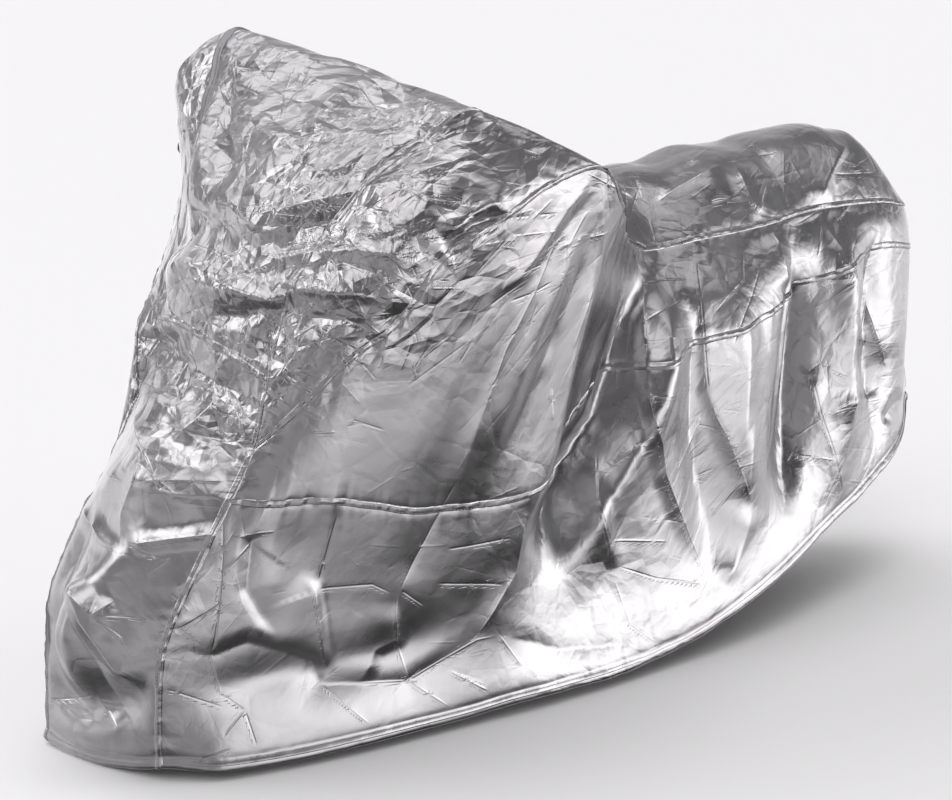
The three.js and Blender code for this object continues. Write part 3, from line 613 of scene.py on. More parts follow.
def upright(hem, level, top, height):
    """Point between hem (height 0), level seam (1) and upper seam (2), rounded at the level seam."""
    low = height[..., None]
    high = low - 1
    below = level - hem
    above = top - level
    turn = (above - below) * 0.5 * LEVEL_SOFTNESS
    under = hem + below * low + turn * (low ** 3 - low ** 2)
    over = level + above * high - turn * (high ** 3 - 2 * high ** 2 + high)
    return np.where(low <= 1, under, over)


def seam_number(height):
    upper = LEVEL_POINT + (height - 1) * (TIP_POINT - LEVEL_POINT)
    return np.where(height <= 1, height * LEVEL_POINT, upper)


def side_point(side, station, height):
    place = upright(spline(side.hem, station), spline(side.level, station), spline(side.top, station), height)
    reach = np.maximum(0, 1 - station / FRONT_SEAM_REACH)[..., None] ** 2
    first = np.zeros_like(station)
    straight = upright(spline(side.hem, first), spline(side.level, first), spline(side.top, first), height)
    return place + reach * (spline(side.front_seam, seam_number(height)) - straight)


def strip_edge(side, number):
    station = number - TIP_POINT
    front = spline(side.front_seam, number)
    hood = spline(side.hood_seam, station)
    seat = spline(side.top, station)
    rest = np.where((station <= SEAT_STATION)[..., None], hood, seat)
    return np.where((station <= 0)[..., None], front, rest)


def arched_row(number, across):
    crown = spline(CROWN, number)
    arch = 1 - np.abs(2 * across - 1) ** crown[..., 2]
    left = strip_edge(LEFT, number)
    place = left + (strip_edge(RIGHT, number) - left) * across[..., None]
    lift = np.stack([crown[..., 0] * arch, np.zeros_like(arch), crown[..., 1] * arch], axis=-1)
    return place + lift


def strip_point(number, across):
    """Point of the centre strip, whose last row bends round the tail on the seam."""
    last = TIP_POINT + CORNER_STATION
    bend = np.maximum(0, number - last + 1)[..., None] ** 2
    on_left = spline(LEFT.top, CORNER_STATION + 2 * np.minimum(across, 0.5))
    on_right = spline(RIGHT.top, CORNER_STATION + 2 - 2 * np.maximum(across, 0.5))
    on_seam = np.where((across < 0.5)[..., None], on_left, on_right)
    end = arched_row(np.full_like(number, last), across)
    return arched_row(number, across) + bend * (on_seam - end)


def cheek_point(side, station, across):
    bulge = spline(side.bulge, station) * (4 * across * (1 - across))[..., None]
    bulge[..., 1] *= side.outward
    hood = spline(side.hood_seam, station)
    return hood + (spline(side.top, station) - hood) * across[..., None] + bulge


def line_distance(across, up, line):
    """Distance to a line on a face, share of the way along it, and which side of it a point lies on."""
    line = np.asarray(line, float)
    spans = np.diff(line, axis=0)
    lengths = np.hypot(spans[:, 0], spans[:, 1])
    nearest = np.full(across.shape, np.inf)
    along = np.zeros(across.shape)
    on_left = np.zeros(across.shape, bool)
    passed = 0.0
    for start, span, length in zip(line, spans, lengths):
        way = span / length
        off_across = across - start[0]
        off_up = up - start[1]
        step = np.clip(off_across * way[0] + off_up * way[1], 0, length)
        distance = np.hypot(off_across - step * way[0], off_up - step * way[1])
        closer = distance < nearest
        nearest = np.where(closer, distance, nearest)
        along = np.where(closer, (passed + step) / lengths.sum(), along)
        on_left = np.where(closer, way[0] * off_up - way[1] * off_across > 0, on_left)
        passed += length
    return nearest, along, on_left


def fold_points(places, face_name, share):
    """Moves the smooth cloth by the main folds of a face."""
    face = FACES[face_name]
    across, up = (places[..., axis] for axis in face["axes"])
    rise = np.zeros(across.shape)
    for _, (start, end), height, line in FOLDS[face_name]:
        distance, along, _ = line_distance(across, up, line)
        wide = start + (end - start) * along
        rise += height * tapered(along, FOLD_START, FOLD_END) * np.exp(-((distance / wide) ** 2))
    return places + (rise * share)[..., None] * np.asarray(face["push"], float)


def folded_side(side, station, height):
    below_seam = smoothstep(2 - height, 0, FADE_HEIGHT)
    behind_front = smoothstep(station, 0, FADE_STATIONS)
    before_back = smoothstep(BACK_STATION - station, 0, FADE_STATIONS)
    share = below_seam * behind_front * before_back
    return fold_points(side_point(side, station, height), side.face, share)


def folded_strip(number, across):
    before_tail = smoothstep(TIP_POINT + CORNER_STATION - number, 0, FADE_STATIONS)
    share = before_tail * (1 - np.abs(2 * across - 1) ** FADE_POWER)
    smooth = strip_point(number, across)
    front = fold_points(smooth, "front", share)
    top = fold_points(smooth, "top", share)
    return np.where((number < FRONT_FOLDS_END)[..., None], front, top)


def even(span):
    """Shares from 0 to 1 in even steps of about a cell."""
    return np.linspace(0, 1, round(span / CELL) + 1)


def graded(span):
    """Shares from 0 to 1 with short steps at both ends."""
    half = [0.0]
    step = EDGE_CELL
    while half[-1] + step < span / 2:
        half.append(half[-1] + step)
        step = min(step * EDGE_GROWTH, CELL)
    half = np.array(half) / span
    return np.concatenate([half, 1 - half[::-1]])


def column_stations():
    """Stations of the columns, about a cell apart on the longer curves."""
    stations = [0.0]
    for index in range(BACK_STATION):
        pair = np.array([index, index + 1.0])
        curves = [side.top for side in (LEFT, RIGHT)] + [side.hem for side in (LEFT, RIGHT)]
        if index < SEAT_STATION:
            curves += [side.hood_seam for side in (LEFT, RIGHT)]
        spans = [np.linalg.norm(np.diff(spline(curve, pair), axis=0)) for curve in curves]
        count = max(2, round(np.mean(sorted(spans)[-2:]) / CELL))
        stations.extend(np.linspace(index, index + 1, count + 1)[1:])
    return np.array(stations)


def panel_grids(stations):
    """Panels as grids of points; the first index runs to the rear or upward, the second across."""
    low = even(LOWER_SPAN)
    high = 1 + even(UPPER_SPAN)
    across = graded(STRIP_SPAN)
    cheek_across = graded(CHEEK_SPAN)
    front_stations = stations[(stations > 0) & (stations <= FRONT_TOP_STATION)]
    front_numbers = np.concatenate([seam_number(low), seam_number(high[1:]), front_stations + TIP_POINT])
    top_numbers = stations[(stations >= FRONT_TOP_STATION) & (stations <= CORNER_STATION)] + TIP_POINT
    cheek_stations = stations[stations <= SEAT_STATION]

    def grid(rows, columns, point_at):
        return point_at(*np.meshgrid(rows, columns, indexing="ij"))

    panels = {}
    for name, numbers, hem in (("front", front_numbers, "first row"), ("top", top_numbers, None)):
        panels[f"{name}_panel"] = {"grid": grid(numbers, across, folded_strip), "hem": hem, "turned": False}
    for side in (LEFT, RIGHT):
        right = side is RIGHT
        for name, heights, hem in (("lower_side", low, "first column"), ("upper_side", high, None)):
            points = grid(stations, heights, lambda s, h: folded_side(side, s, h))
            panels[f"{side.face}_{name}"] = {"grid": points, "hem": hem, "turned": right}
        points = grid(cheek_stations, cheek_across, lambda s, v: cheek_point(side, s, v))
        panels[f"{side.face}_cheek"] = {"grid": points, "hem": None, "turned": not right}
    return panels


def shared_normals(panels):
    """Outward directions of the cloth, the same on both sides of a seam."""
    every_place = []
    every_normal = []
    for panel in panels.values():
        grid = panel["grid"]
        cell = unit(np.cross(grid[1:, 1:] - grid[:-1, :-1], grid[:-1, 1:] - grid[1:, :-1]))
        if panel["turned"]:
            cell = -cell
        total = np.zeros_like(grid)
        for rows in (slice(0, -1), slice(1, None)):
            for columns in (slice(0, -1), slice(1, None)):
                total[rows, columns] += cell
        every_place.append(grid.reshape(-1, 3))
        every_normal.append(total.reshape(-1, 3))
    places = np.round(np.concatenate(every_place), WELD_DIGITS)
    _, group = np.unique(places, axis=0, return_inverse=True)
    group = group.ravel()
    summed = np.zeros((group.max() + 1, 3))
    np.add.at(summed, group, np.concatenate(every_normal))
    shared = unit(summed)[group]
    start = 0
    for panel in panels.values():
        count = panel["grid"][..., 0].size
        panel["normal"] = shared[start:start + count].reshape(panel["grid"].shape)
        start += count


def view_axes():
    """Directions to the right, up and back towards the camera in the main view."""
    azimuth = math.radians(VIEW_AZIMUTH)
    elevation = math.radians(VIEW_ELEVATION)
    right = np.array([math.cos(azimuth), math.sin(azimuth), 0.0])
    level = np.array([math.sin(azimuth), -math.cos(azimuth), 0.0])
    back = math.cos(elevation) * level + math.sin(elevation) * np.array([0.0, 0.0, 1.0])
    return right, np.cross(back, right), back


def on_view_plane(name, panel):
    """Places of a panel on the plane of the main view, and how far it faces it; a right side is mirrored."""
    flip = np.array([1.0, -1.0, 1.0]) if name in MIRRORED else np.ones(3)
    right, up, back = (axis * flip for axis in view_axes())
    off = panel["grid"] - VIEW_TARGET
    if name in MIRRORED:
        off = off + MIRROR_MOVE
    nearer = VIEW_DISTANCE / (VIEW_DISTANCE - off @ back)
    return nearer * (off @ right), nearer * (off @ up), smoothstep(panel["normal"] @ back, *CREASE_FACING)


def from_pixels(line):
    """Line in millimetres from the middle of the main view's plane, for a line in the photo's pixels."""
    size = VIEW_DISTANCE / FOCAL_PIXELS
    middle, level = IMAGE_WIDTH / 2, IMAGE_HEIGHT / 2
    return [((across - middle) * size, (level - down) * size) for across, down in line]


def crease_relief(name, panel):
    """Rise of the listed creases over a panel: a facet on both sides of each line."""
    across, above, facing = on_view_plane(name, panel)
    relief = np.zeros(across.shape)
    for _, reach, rise, line in CREASES:
        distance, along, on_left = line_distance(across, above, from_pixels(line))
        share = np.maximum(0, 1 - distance / np.where(on_left, *reach))
        relief += rise * tapered(along, CREASE_TAPER, CREASE_TAPER) * share ** CREASE_POWER
    return relief * facing


def thin_lines():
    """Thin creases, those listed before the short ones: share, above 0 for a ridge, and line."""
    main_lines = {name: line for name, _, _, line in CREASES}
    rows = []
    for area in THIN_CREASES.values():
        for way, line in area:
            rows.append((way, from_pixels(main_lines[line] if isinstance(line, str) else line)))
    random = np.random.default_rng(SHORT_SEED)
    for _, most, middle, scatter, count, length, aim, turn in SHORT_CREASES:
        for _ in range(count):
            place = np.array(middle) + random.normal(size=2) * scatter
            if isinstance(aim, tuple):
                slope = math.atan2(aim[1] - place[1], aim[0] - place[0])
            else:
                slope = math.radians(aim)
            slope += math.radians(turn) * random.normal()
            half = random.uniform(*length) / 2 * np.array([math.cos(slope), math.sin(slope)])
            share = most * random.choice((-1, 1)) * random.uniform(*SHORT_SHARE)
            rows.append((share, [tuple(place - half), tuple(place + half)]))
    return rows


def thin_creases(name, panel):
    """Distance from the nearest thin crease, below 0 on its right, and its share: above 0 for a ridge."""
    across, above, facing = (values.ravel() for values in on_view_plane(name, panel))
    nearest = np.full(across.shape, THIN_NEAR[1])
    signed = np.full(across.shape, THIN_NEAR[1])
    share = np.zeros(across.shape)
    for way, line in thin_lines():
        low = np.min(line, axis=0) - THIN_NEAR[1]
        high = np.max(line, axis=0) + THIN_NEAR[1]
        near = (across > low[0]) & (across < high[0]) & (above > low[1]) & (above < high[1])
        near = np.flatnonzero(near)
        distance, along, on_left = line_distance(across[near], above[near], line)
        closer = distance < nearest[near]
        near = near[closer]
        nearest[near] = distance[closer]
        signed[near] = np.where(on_left, distance, -distance)[closer]
        share[near] = (way * tapered(along, THIN_TAPER, THIN_TAPER))[closer]
    share *= facing * (1 - smoothstep(nearest, *THIN_NEAR))
    shape = panel["grid"].shape[:-1]
    return signed.reshape(shape), share.reshape(shape)


def lattice_height(corner, seed):
    """Even random number from -1 to 1 for each corner of a lattice."""
    mask = (1 << LATTICE_BITS) - 1
    mixed = np.full(len(corner), seed * LATTICE_SPREAD, np.int64)
    for axis, prime in enumerate(LATTICE_PRIMES):
        mixed ^= corner[:, axis] * prime
    mixed &= mask
    first_shift, last_shift = LATTICE_SHIFTS
    mixed = ((mixed ^ (mixed >> first_shift)) * LATTICE_SPREAD) & mask
    mixed ^= mixed >> last_shift
    return mixed / (1 << (LATTICE_BITS - 1)) - 1


def facet_noise(places, cell, seed):
    """Random heights on a turned lattice, joined by flat facets."""
    random = np.random.default_rng(seed)
    turn, _ = np.linalg.qr(random.normal(size=(3, 3)))
    phase = random.uniform(0, 2 * math.pi, 3)
    warp = WARP_RISE * np.sin(places[:, [1, 2, 0]] / WARP_LENGTH + phase)
    inside = (places + warp) @ turn.T / cell
    corner = np.floor(inside).astype(np.int64)
    part = inside - corner
    order = np.argsort(-part, axis=1)
    ranked = np.take_along_axis(part, order, axis=1)
    height = (1 - ranked[:, 0]) * lattice_height(corner, seed)
    rows = np.arange(len(places))
    for rank in range(3):
        corner[rows, order[:, rank]] += 1
        weight = ranked[:, rank] - (ranked[:, rank + 1] if rank < 2 else 0)
        height += weight * lattice_height(corner, seed)
    return height


def zone_weight(places, zone):
    """Way from a zone's middle to each place, and the zone's weight there."""
    off = places - np.array(zone.place, float)
    return off, ZONE_WEIGHT * np.exp(-((np.linalg.norm(off, axis=-1) / zone.reach) ** 2))


def pulled_place(places):
    """Places squeezed along each zone's pull, so that facets made on them come out stretched along it."""
    total = np.zeros(places.shape)
    weights = np.ones(places.shape[:-1])
    for zone in SPARE_ZONES:
        off, weight = zone_weight(places, zone)
        pull = unit(np.array(zone.pull))
        squeeze = (1 / zone.stretch - 1) * (off @ pull)
        total += (weight * squeeze)[..., None] * pull
        weights += weight
    sway = SWAY * np.sin(places[..., [1, 2, 0]] / np.array(SWAY_LENGTHS))
    return places + total / weights[..., None] + sway


def by_zone(places, key):
    """Share of spare cloth at each place, blended between the zones."""
    total = np.full(places.shape[:-1], SPARE_REST[key])
    weights = np.ones(places.shape[:-1])
    for zone in SPARE_ZONES:
        _, weight = zone_weight(places, zone)
        total += weight * getattr(zone, key)
        weights += weight
    return total / weights


def cell_facets(places, cell, seed):
    """Flat facets around scattered points, about 0 on average: second distance squared less the first."""
    random = np.random.default_rng(seed)
    turn, _ = np.linalg.qr(random.normal(size=(3, 3)))
    inside = places @ turn.T / cell
    base = np.floor(inside).astype(np.int64)
    first = np.full(len(places), np.inf)
    second = np.full(len(places), np.inf)
    for step in np.ndindex(3, 3, 3):
        corner = base + np.array(step) - 1
        jitter = np.stack([lattice_height(corner, seed + axis) for axis in range(3)], axis=1)
        square = ((corner + 0.5 + 0.5 * jitter - inside) ** 2).sum(axis=1)
        second = np.minimum(second, np.maximum(first, square))
        first = np.minimum(first, square)
    return second - first - FACET_MEAN


def start_height(places):
    """Random facets that the wrinkles grow from, larger where the cloth is crumpled."""
    share = by_zone(places, "crumple")
    flat = pulled_place(places).reshape(-1, 3)
    height = np.zeros(len(flat))
    for cell, rise, seed in FACET_LAYERS:
        height += rise * cell_facets(flat, cell, seed)
    return height.reshape(share.shape) * share


def rest_lengths(base, along, across):
    """Lengths of a grid's rows, columns and diagonals with their spare cloth."""
    down = np.diff(base, axis=0) * (1 + 0.5 * (along[1:] + along[:-1]))[..., None]
    over = np.diff(base, axis=1) * (1 + 0.5 * (across[:, 1:] + across[:, :-1]))[..., None]
    forward = 0.5 * (down[:, 1:] + down[:, :-1] + over[1:] + over[:-1])
    backward = 0.5 * (down[:, 1:] + down[:, :-1] - over[1:] - over[:-1])
    return [np.linalg.norm(part, axis=-1).astype(np.float32) for part in (down, over, forward, backward)]


def settle(start, end, rest):
    """Moves the ends of threads towards each other, or apart, to their rest length."""
    gap = end - start
    length = np.sqrt((gap * gap).sum(axis=-1))
    share = 0.5 * (1 - rest / np.maximum(length, SHORTEST_THREAD))
    gap *= share[..., None]
    start += gap
    end -= gap


def relax(base, normal, cloth, along, across, rounds):
    """Lets a grid of cloth take up its spare length, held at its borders and near its main shape."""
    down, over, forward, backward = rest_lengths(base, along, across)
    base = base.astype(np.float32)
    normal = normal.astype(np.float32)
    cloth = cloth.astype(np.float32)
    held = cloth.copy()
    for _ in range(rounds):
        for first in (0, 1):
            upper = cloth[first:-1:2]
            lower = cloth[first + 1::2]
            settle(upper, lower, down[first::2])
            settle(upper[:, :-1], lower[:, 1:], forward[first::2])
            settle(upper[:, 1:], lower[:, :-1], backward[first::2])
            settle(cloth[:, first:-1:2], cloth[:, first + 1::2], over[:, first::2])
        inside = cloth[1:-1, 1:-1]
        middle = 0.25 * (cloth[:-2, 1:-1] + cloth[2:, 1:-1] + cloth[1:-1, :-2] + cloth[1:-1, 2:])
        out = normal[1:-1, 1:-1]
        height = ((inside - base[1:-1, 1:-1]) * out).sum(axis=-1)
        bend = ((middle - inside) * out).sum(axis=-1)
        calm = bend / (1 + (bend / CREASE_BEND) ** 2)
        wanted = np.clip(height * (1 - HOLD_SHARE) + BEND_SHARE * calm, DEEPEST, HIGHEST)
        inside += (wanted - height)[..., None] * out
        for row in (0, -1):
            cloth[row] = held[row]
            cloth[:, row] = held[:, row]
    return cloth.astype(float)


def thinned(count, stride):
    return np.unique(np.append(np.arange(0, count, stride), count - 1))


def spread(values, rows, columns, shape):
    """Values on some rows and columns of a grid, spread evenly over all of it."""
    wide = np.empty((len(rows), shape[1], 3))
    full = np.empty((*shape, 3))
    for axis in range(3):
        for index in range(len(rows)):
            wide[index, :, axis] = np.interp(np.arange(shape[1]), columns, values[index, :, axis])
        for index in range(shape[1]):
            full[:, index, axis] = np.interp(np.arange(shape[0]), rows, wide[:, index, axis])
    return full


def wrinkled(panel, height):
    """Cloth of a panel after its spare length has gathered, from coarse wrinkles to fine ones."""
    base = panel["grid"]
    normal = panel["normal"]
    along = by_zone(base, "along")
    across = by_zone(base, "across")
    moved = height[..., None] * normal
    for stride, rounds in RELAX_LEVELS:
        rows, columns = (thinned(count, stride) for count in base.shape[:2])
        part = np.ix_(rows, columns)
        begun = base[part] + moved[part]
        cloth = relax(base[part], normal[part], begun, along[part], across[part], rounds)
        change = cloth - base[part] - moved[part]
        moved = moved + spread(change, rows, columns, base.shape[:2])
    return base + moved


def walked(points, axis):
    """Distance walked along one axis of a grid of points."""
    steps = np.linalg.norm(np.diff(points, axis=axis), axis=-1)
    start = np.zeros_like(steps.take([0], axis))
    return np.concatenate([start, np.cumsum(steps, axis=axis)], axis=axis)


def edge_distances(grid):
    """Distance of each point of a grid from its four borders, along the grid lines."""
    from_top = walked(grid, 0)
    from_left = walked(grid, 1)
    return {
        "first row": from_top,
        "last row": from_top[-1:] - from_top,
        "first column": from_left,
        "last column": from_left[:, -1:] - from_left,
    }


def border(grid, name):
    """Points of one border, in a shape that spreads over the grid."""
    return grid.take([0 if name.startswith("first") else -1], 0 if name.endswith("row") else 1)


def seam_relief(panel, name, distance):
    """Pucker and ditch of the cloth beside one seam."""
    line = border(panel["grid"], name)
    flat = line.reshape(-1, 3)
    relief = -DITCH_DEPTH * np.exp(-((distance / DITCH_REACH) ** 2))
    for cell, rise, reach, seed in PUCKER_LAYERS:
        height = facet_noise(flat, cell, seed).reshape(line.shape[:-1])
        relief = relief + rise * height * np.exp(-distance / reach)
    return relief


def hem_relief(distance):
    """Roll of the folded hem above its edge."""
    share = np.clip(distance / HEM_HEIGHT, 0, 1)
    roll = HEM_ROLL * np.sqrt(np.maximum(0, 1 - (2 * share - 1) ** 2))
    ditch = -DITCH_DEPTH * np.exp(-(((distance - HEM_HEIGHT) / DITCH_REACH) ** 2))
    return roll + ditch


def dress(panels):
    """Moves each panel's points to the wrinkled and sewn cloth."""
    for name, panel in panels.items():
        grid = panel["grid"]
        distances = edge_distances(grid)
        fade = np.ones(grid.shape[:-1])
        relief = np.zeros(grid.shape[:-1])
        for edge, distance in distances.items():
            if edge == panel["hem"]:
                relief += hem_relief(distance)
            elif "cheek" in name and edge.endswith("row"):
                continue
            else:
                fade *= SEAM_SHARE + (1 - SEAM_SHARE) * smoothstep(distance, 0, SEAM_CALM)
                relief += seam_relief(panel, edge, distance)
        signed, share = thin_creases(name, panel)
        thin = THIN_RISE * share * np.maximum(0, 1 - np.abs(signed) / THIN_REACH)
        cloth = wrinkled(panel, start_height(grid) * fade)
        panel["cloth"] = cloth + (relief + thin + crease_relief(name, panel))[..., None] * panel["normal"]
        panel["thin"] = np.stack([signed * MM, share], axis=-1)


def edge_lines(panels, edge, count):
    """Cloth and outward directions along one border: the lines of the grid beside it, outermost first."""
    name, side, part = edge
    lines = []
    for layer in (panels[name]["cloth"], panels[name]["normal"]):
        turned = layer if side.endswith("row") else layer.transpose(1, 0, 2)
        near = turned[:count] if side.startswith("first") else turned[::-1][:count]
        lines.append(near[:, part])
    return lines


def seam_list(stations):
    """Seams as pairs of borders: panel, border, and the part of it that the seam takes up."""
    low = len(even(LOWER_SPAN))
    tip = low + len(even(UPPER_SPAN)) - 1
    front_top = int(np.searchsorted(stations, FRONT_TOP_STATION))
    seat = int(np.searchsorted(stations, SEAT_STATION))
    corner = int(np.searchsorted(stations, CORNER_STATION))
    whole = slice(None)
    seams = {"cross": (("front_panel", "last row", whole), ("top_panel", "first row", whole))}
    for side, strip in (("left", "first column"), ("right", "last column")):
        lower, upper, cheek = f"{side}_lower_side", f"{side}_upper_side", f"{side}_cheek"
        pairs = {
            "front_lower": (("front_panel", strip, slice(0, low)), (lower, "first row", whole)),
            "front_upper": (("front_panel", strip, slice(low - 1, tip)), (upper, "first row", whole)),
            "hood_foot": (("front_panel", strip, slice(tip - 1, None)),
                          (cheek, "first column", slice(0, front_top + 1))),
            "hood": (("top_panel", strip, slice(0, seat - front_top + 1)),
                     (cheek, "first column", slice(front_top, None))),
            "bar": ((cheek, "last column", whole), (upper, "last column", slice(0, seat + 1))),
            "seat": (("top_panel", strip, slice(seat - front_top, None)),
                     (upper, "last column", slice(seat, corner + 1))),
            "level": ((lower, "last column", whole), (upper, "first column", whole)),
        }
        seams.update({f"{side}_{name}": pair for name, pair in pairs.items()})
    for part in ("lower", "upper"):
        seams[f"back_{part}"] = [(f"{side}_{part}_side", "last row", whole) for side in ("left", "right")]
    return seams


def finer(lines):
    """Lines of points with more points along each of them."""
    count = lines.shape[1]
    number = np.linspace(0, count - 1, (count - 1) * BAND_FINENESS + 1)
    return spline(lines.transpose(1, 0, 2).reshape(count, -1), number).reshape(len(number), -1, 3)


def at_distance(lines, distance):
    """Points at a distance from the border, along the lines that lead away from it."""
    places = np.empty((len(lines), 3))
    for index, (row, far) in enumerate(zip(lines, walked(lines, 1))):
        places[index] = [np.interp(distance, far, row[:, axis]) for axis in range(3)]
    return places


def band_grid(panels, seam, profile, ladder):
    """Strip of points over a seam, and the outward directions along it."""
    halves = []
    for edge in seam:
        cloth, normal = edge_lines(panels, edge, BAND_LINES)
        halves.append(finer(cloth))
        out = unit(finer(normal)[:, 0])
    middle = halves[0][:, 0]
    ripple = ladder * facet_noise(middle, LADDER_CELL, LADDER_SEED)
    columns = []
    for lines, rows in ((halves[0], profile), (halves[1], profile[-2::-1])):
        for distance, lift in rows:
            rise = lift + ripple * (lift > 0)
            columns.append(at_distance(lines, distance) + rise[:, None] * out)
    return np.stack(columns, axis=1), out


def stitch_row(line, out):
    """Corners of the stitches along a line: a low roof for each."""
    reach = walked(line, 0)
    begin = np.arange(STITCH_PITCH, reach[-1] - STITCH_PITCH, STITCH_PITCH)

    def at(distance, values):
        return np.stack([np.interp(distance, reach, values[:, axis]) for axis in range(3)], axis=1)

    start = at(begin, line)
    end = at(begin + STITCH_LENGTH, line)
    up = unit(at(begin, out))
    half = STITCH_HALF * unit(np.cross(up, end - start))
    top = STITCH_LIFT * up
    low = -STITCH_SINK * up
    around = [start + half, start - half, end - half, end + half]
    return np.stack([corner + height for height in (low, top) for corner in around], axis=1)


STITCH_FACES = np.array([[4, 5, 6, 7], [0, 1, 5, 4], [1, 2, 6, 5], [2, 3, 7, 6], [3, 0, 4, 7]])


def add_stitches(name, rows, material):
    corners = np.concatenate(rows)
    first = np.arange(len(corners)) * corners.shape[1]
    quads = (first[:, None, None] + STITCH_FACES).reshape(-1, 4)
    return add_mesh(name, corners.reshape(-1, 3), quads, material, smooth=False)


def add_values(mesh, name, values):
    mesh.attributes.new(name, "FLOAT", "POINT").data.foreach_set("value", values.astype(np.float32))


def add_mesh(name, places, quads, material, smooth=True, crumple=None, thin=None):
    """Mesh object from points in millimetres and quads, with the values that its material reads."""
    mesh = bpy.data.meshes.new(name)
    mesh.vertices.add(len(places))
    mesh.vertices.foreach_set("co", ((places + FRAME_SHIFT) * MM).astype(np.float32).ravel())
    mesh.loops.add(quads.size)
    mesh.loops.foreach_set("vertex_index", quads.astype(np.int32).ravel())
    mesh.polygons.add(len(quads))
    mesh.polygons.foreach_set("loop_start", np.arange(0, quads.size, 4, dtype=np.int32))
    mesh.polygons.foreach_set("use_smooth", np.full(len(quads), smooth))
    mesh.update(calc_edges=True)
    mesh.validate()
    mesh.materials.append(material)
    share = by_zone(places, "crumple") if crumple is None else np.full(len(places), crumple)
    add_values(mesh, CRUMPLE, CRUMPLE_MOST * (share / (1 + share)) ** CRUMPLE_POWER)
    thin = np.tile(NO_THIN_CREASE, (len(places), 1)) if thin is None else thin
    add_values(mesh, THIN_FAR, thin[:, 0])
    add_values(mesh, THIN_SHARE, thin[:, 1])
    pulled = mesh.attributes.new(PULLED, "FLOAT_VECTOR", "POINT")
    pulled.data.foreach_set("vector", (pulled_place(places) * MM).astype(np.float32).ravel())
    piece = bpy.data.objects.new(name, mesh)
    bpy.context.scene.collection.objects.link(piece)
    return piece


def grid_quads(rows, columns, turned):
    index = np.arange(rows * columns).reshape(rows, columns)
    quads = np.stack([index[:-1, :-1], index[1:, :-1], index[1:, 1:], index[:-1, 1:]], axis=-1).reshape(-1, 4)
    return quads[:, ::-1] if turned else quads


def with_lip(panel):
    """Grid of a panel with the hem's edge turned inside, and the thin creases on it."""
    cloth = panel["cloth"]
    thin = panel["thin"]
    if panel["hem"] is None:
        return cloth, thin
    axis = 0 if panel["hem"] == "first row" else 1
    edge, inner = (cloth.take(index, axis) for index in (0, 1))
    upward = unit(inner - edge)
    out = panel["normal"].take(0, axis)
    lips = [edge - depth * out + rise * upward for depth, rise in reversed(HEM_LIP)]
    smooth = [thin.take(0, axis)] * len(lips)
    return (np.concatenate([np.stack(lips, axis), cloth], axis),
            np.concatenate([np.stack(smooth, axis), thin], axis))


class Nodes:
    """Node tree with short calls for the few kinds of node used here."""

    def __init__(self, tree):
        self.tree = tree

    def add(self, kind, inputs=None, **settings):
        node = self.tree.nodes.new(kind)
        for key, value in settings.items():
            setattr(node, key, value)
        for key, value in (inputs or {}).items():
            self.feed(node.inputs[key], value)
        return node

    def feed(self, socket, value):
        if isinstance(value, bpy.types.NodeSocket):
            self.tree.links.new(value, socket)
        else:
            socket.default_value = value

    def math(self, operation, *values):
        node = self.add("ShaderNodeMath", operation=operation)
        for socket, value in zip(node.inputs, values):
            self.feed(socket, value)
        return node.outputs[0]

    def dot(self, first, second):
        node = self.add("ShaderNodeVectorMath", {0: first, 1: second}, operation="DOT_PRODUCT")
        return node.outputs["Value"]

    def noise(self, place, scale, detail):
        node = self.add("ShaderNodeTexNoise", {"Vector": place, "Scale": scale, "Detail": detail})
        return node.outputs["Fac"]

    def attribute(self, name, output="Fac"):
        return self.add("ShaderNodeAttribute", attribute_name=name).outputs[output]

    def mix(self, factor, dark, light):
        inputs = {"Factor": factor, "A": (*dark, 1), "B": (*light, 1)}
        return self.add("ShaderNodeMix", inputs, data_type="RGBA").outputs["Result"]

    def span(self, value, low, high, start, end):
        inputs = {"Value": value, "From Min": low, "From Max": high, "To Min": start, "To Max": end}
        return self.add("ShaderNodeMapRange", inputs, interpolation_type="SMOOTHSTEP").outputs[0]

    def facets(self, place, cell, turn):
        """Heights of flat facets that meet in creases: a cell's second distance squared less its first."""
        inputs = {"Vector": place, "Rotation": turn, "Scale": (cell, cell, cell)}
        mapped = self.add("ShaderNodeMapping", inputs, vector_type="TEXTURE").outputs["Vector"]
        squares = []
        for feature in ("F2", "F1"):
            cells = self.add("ShaderNodeTexVoronoi", {"Vector": mapped, "Scale": 1.0}, feature=feature)
            distance = cells.outputs["Distance"]
            squares.append(self.math("MULTIPLY", distance, distance))
        return self.math("SUBTRACT", *squares)


def new_material(name):
    """Material, its shader and a maker of its nodes."""
    material = bpy.data.materials.new(name)
    material.use_nodes = True
    return material, material.node_tree.nodes["Principled BSDF"], Nodes(material.node_tree)


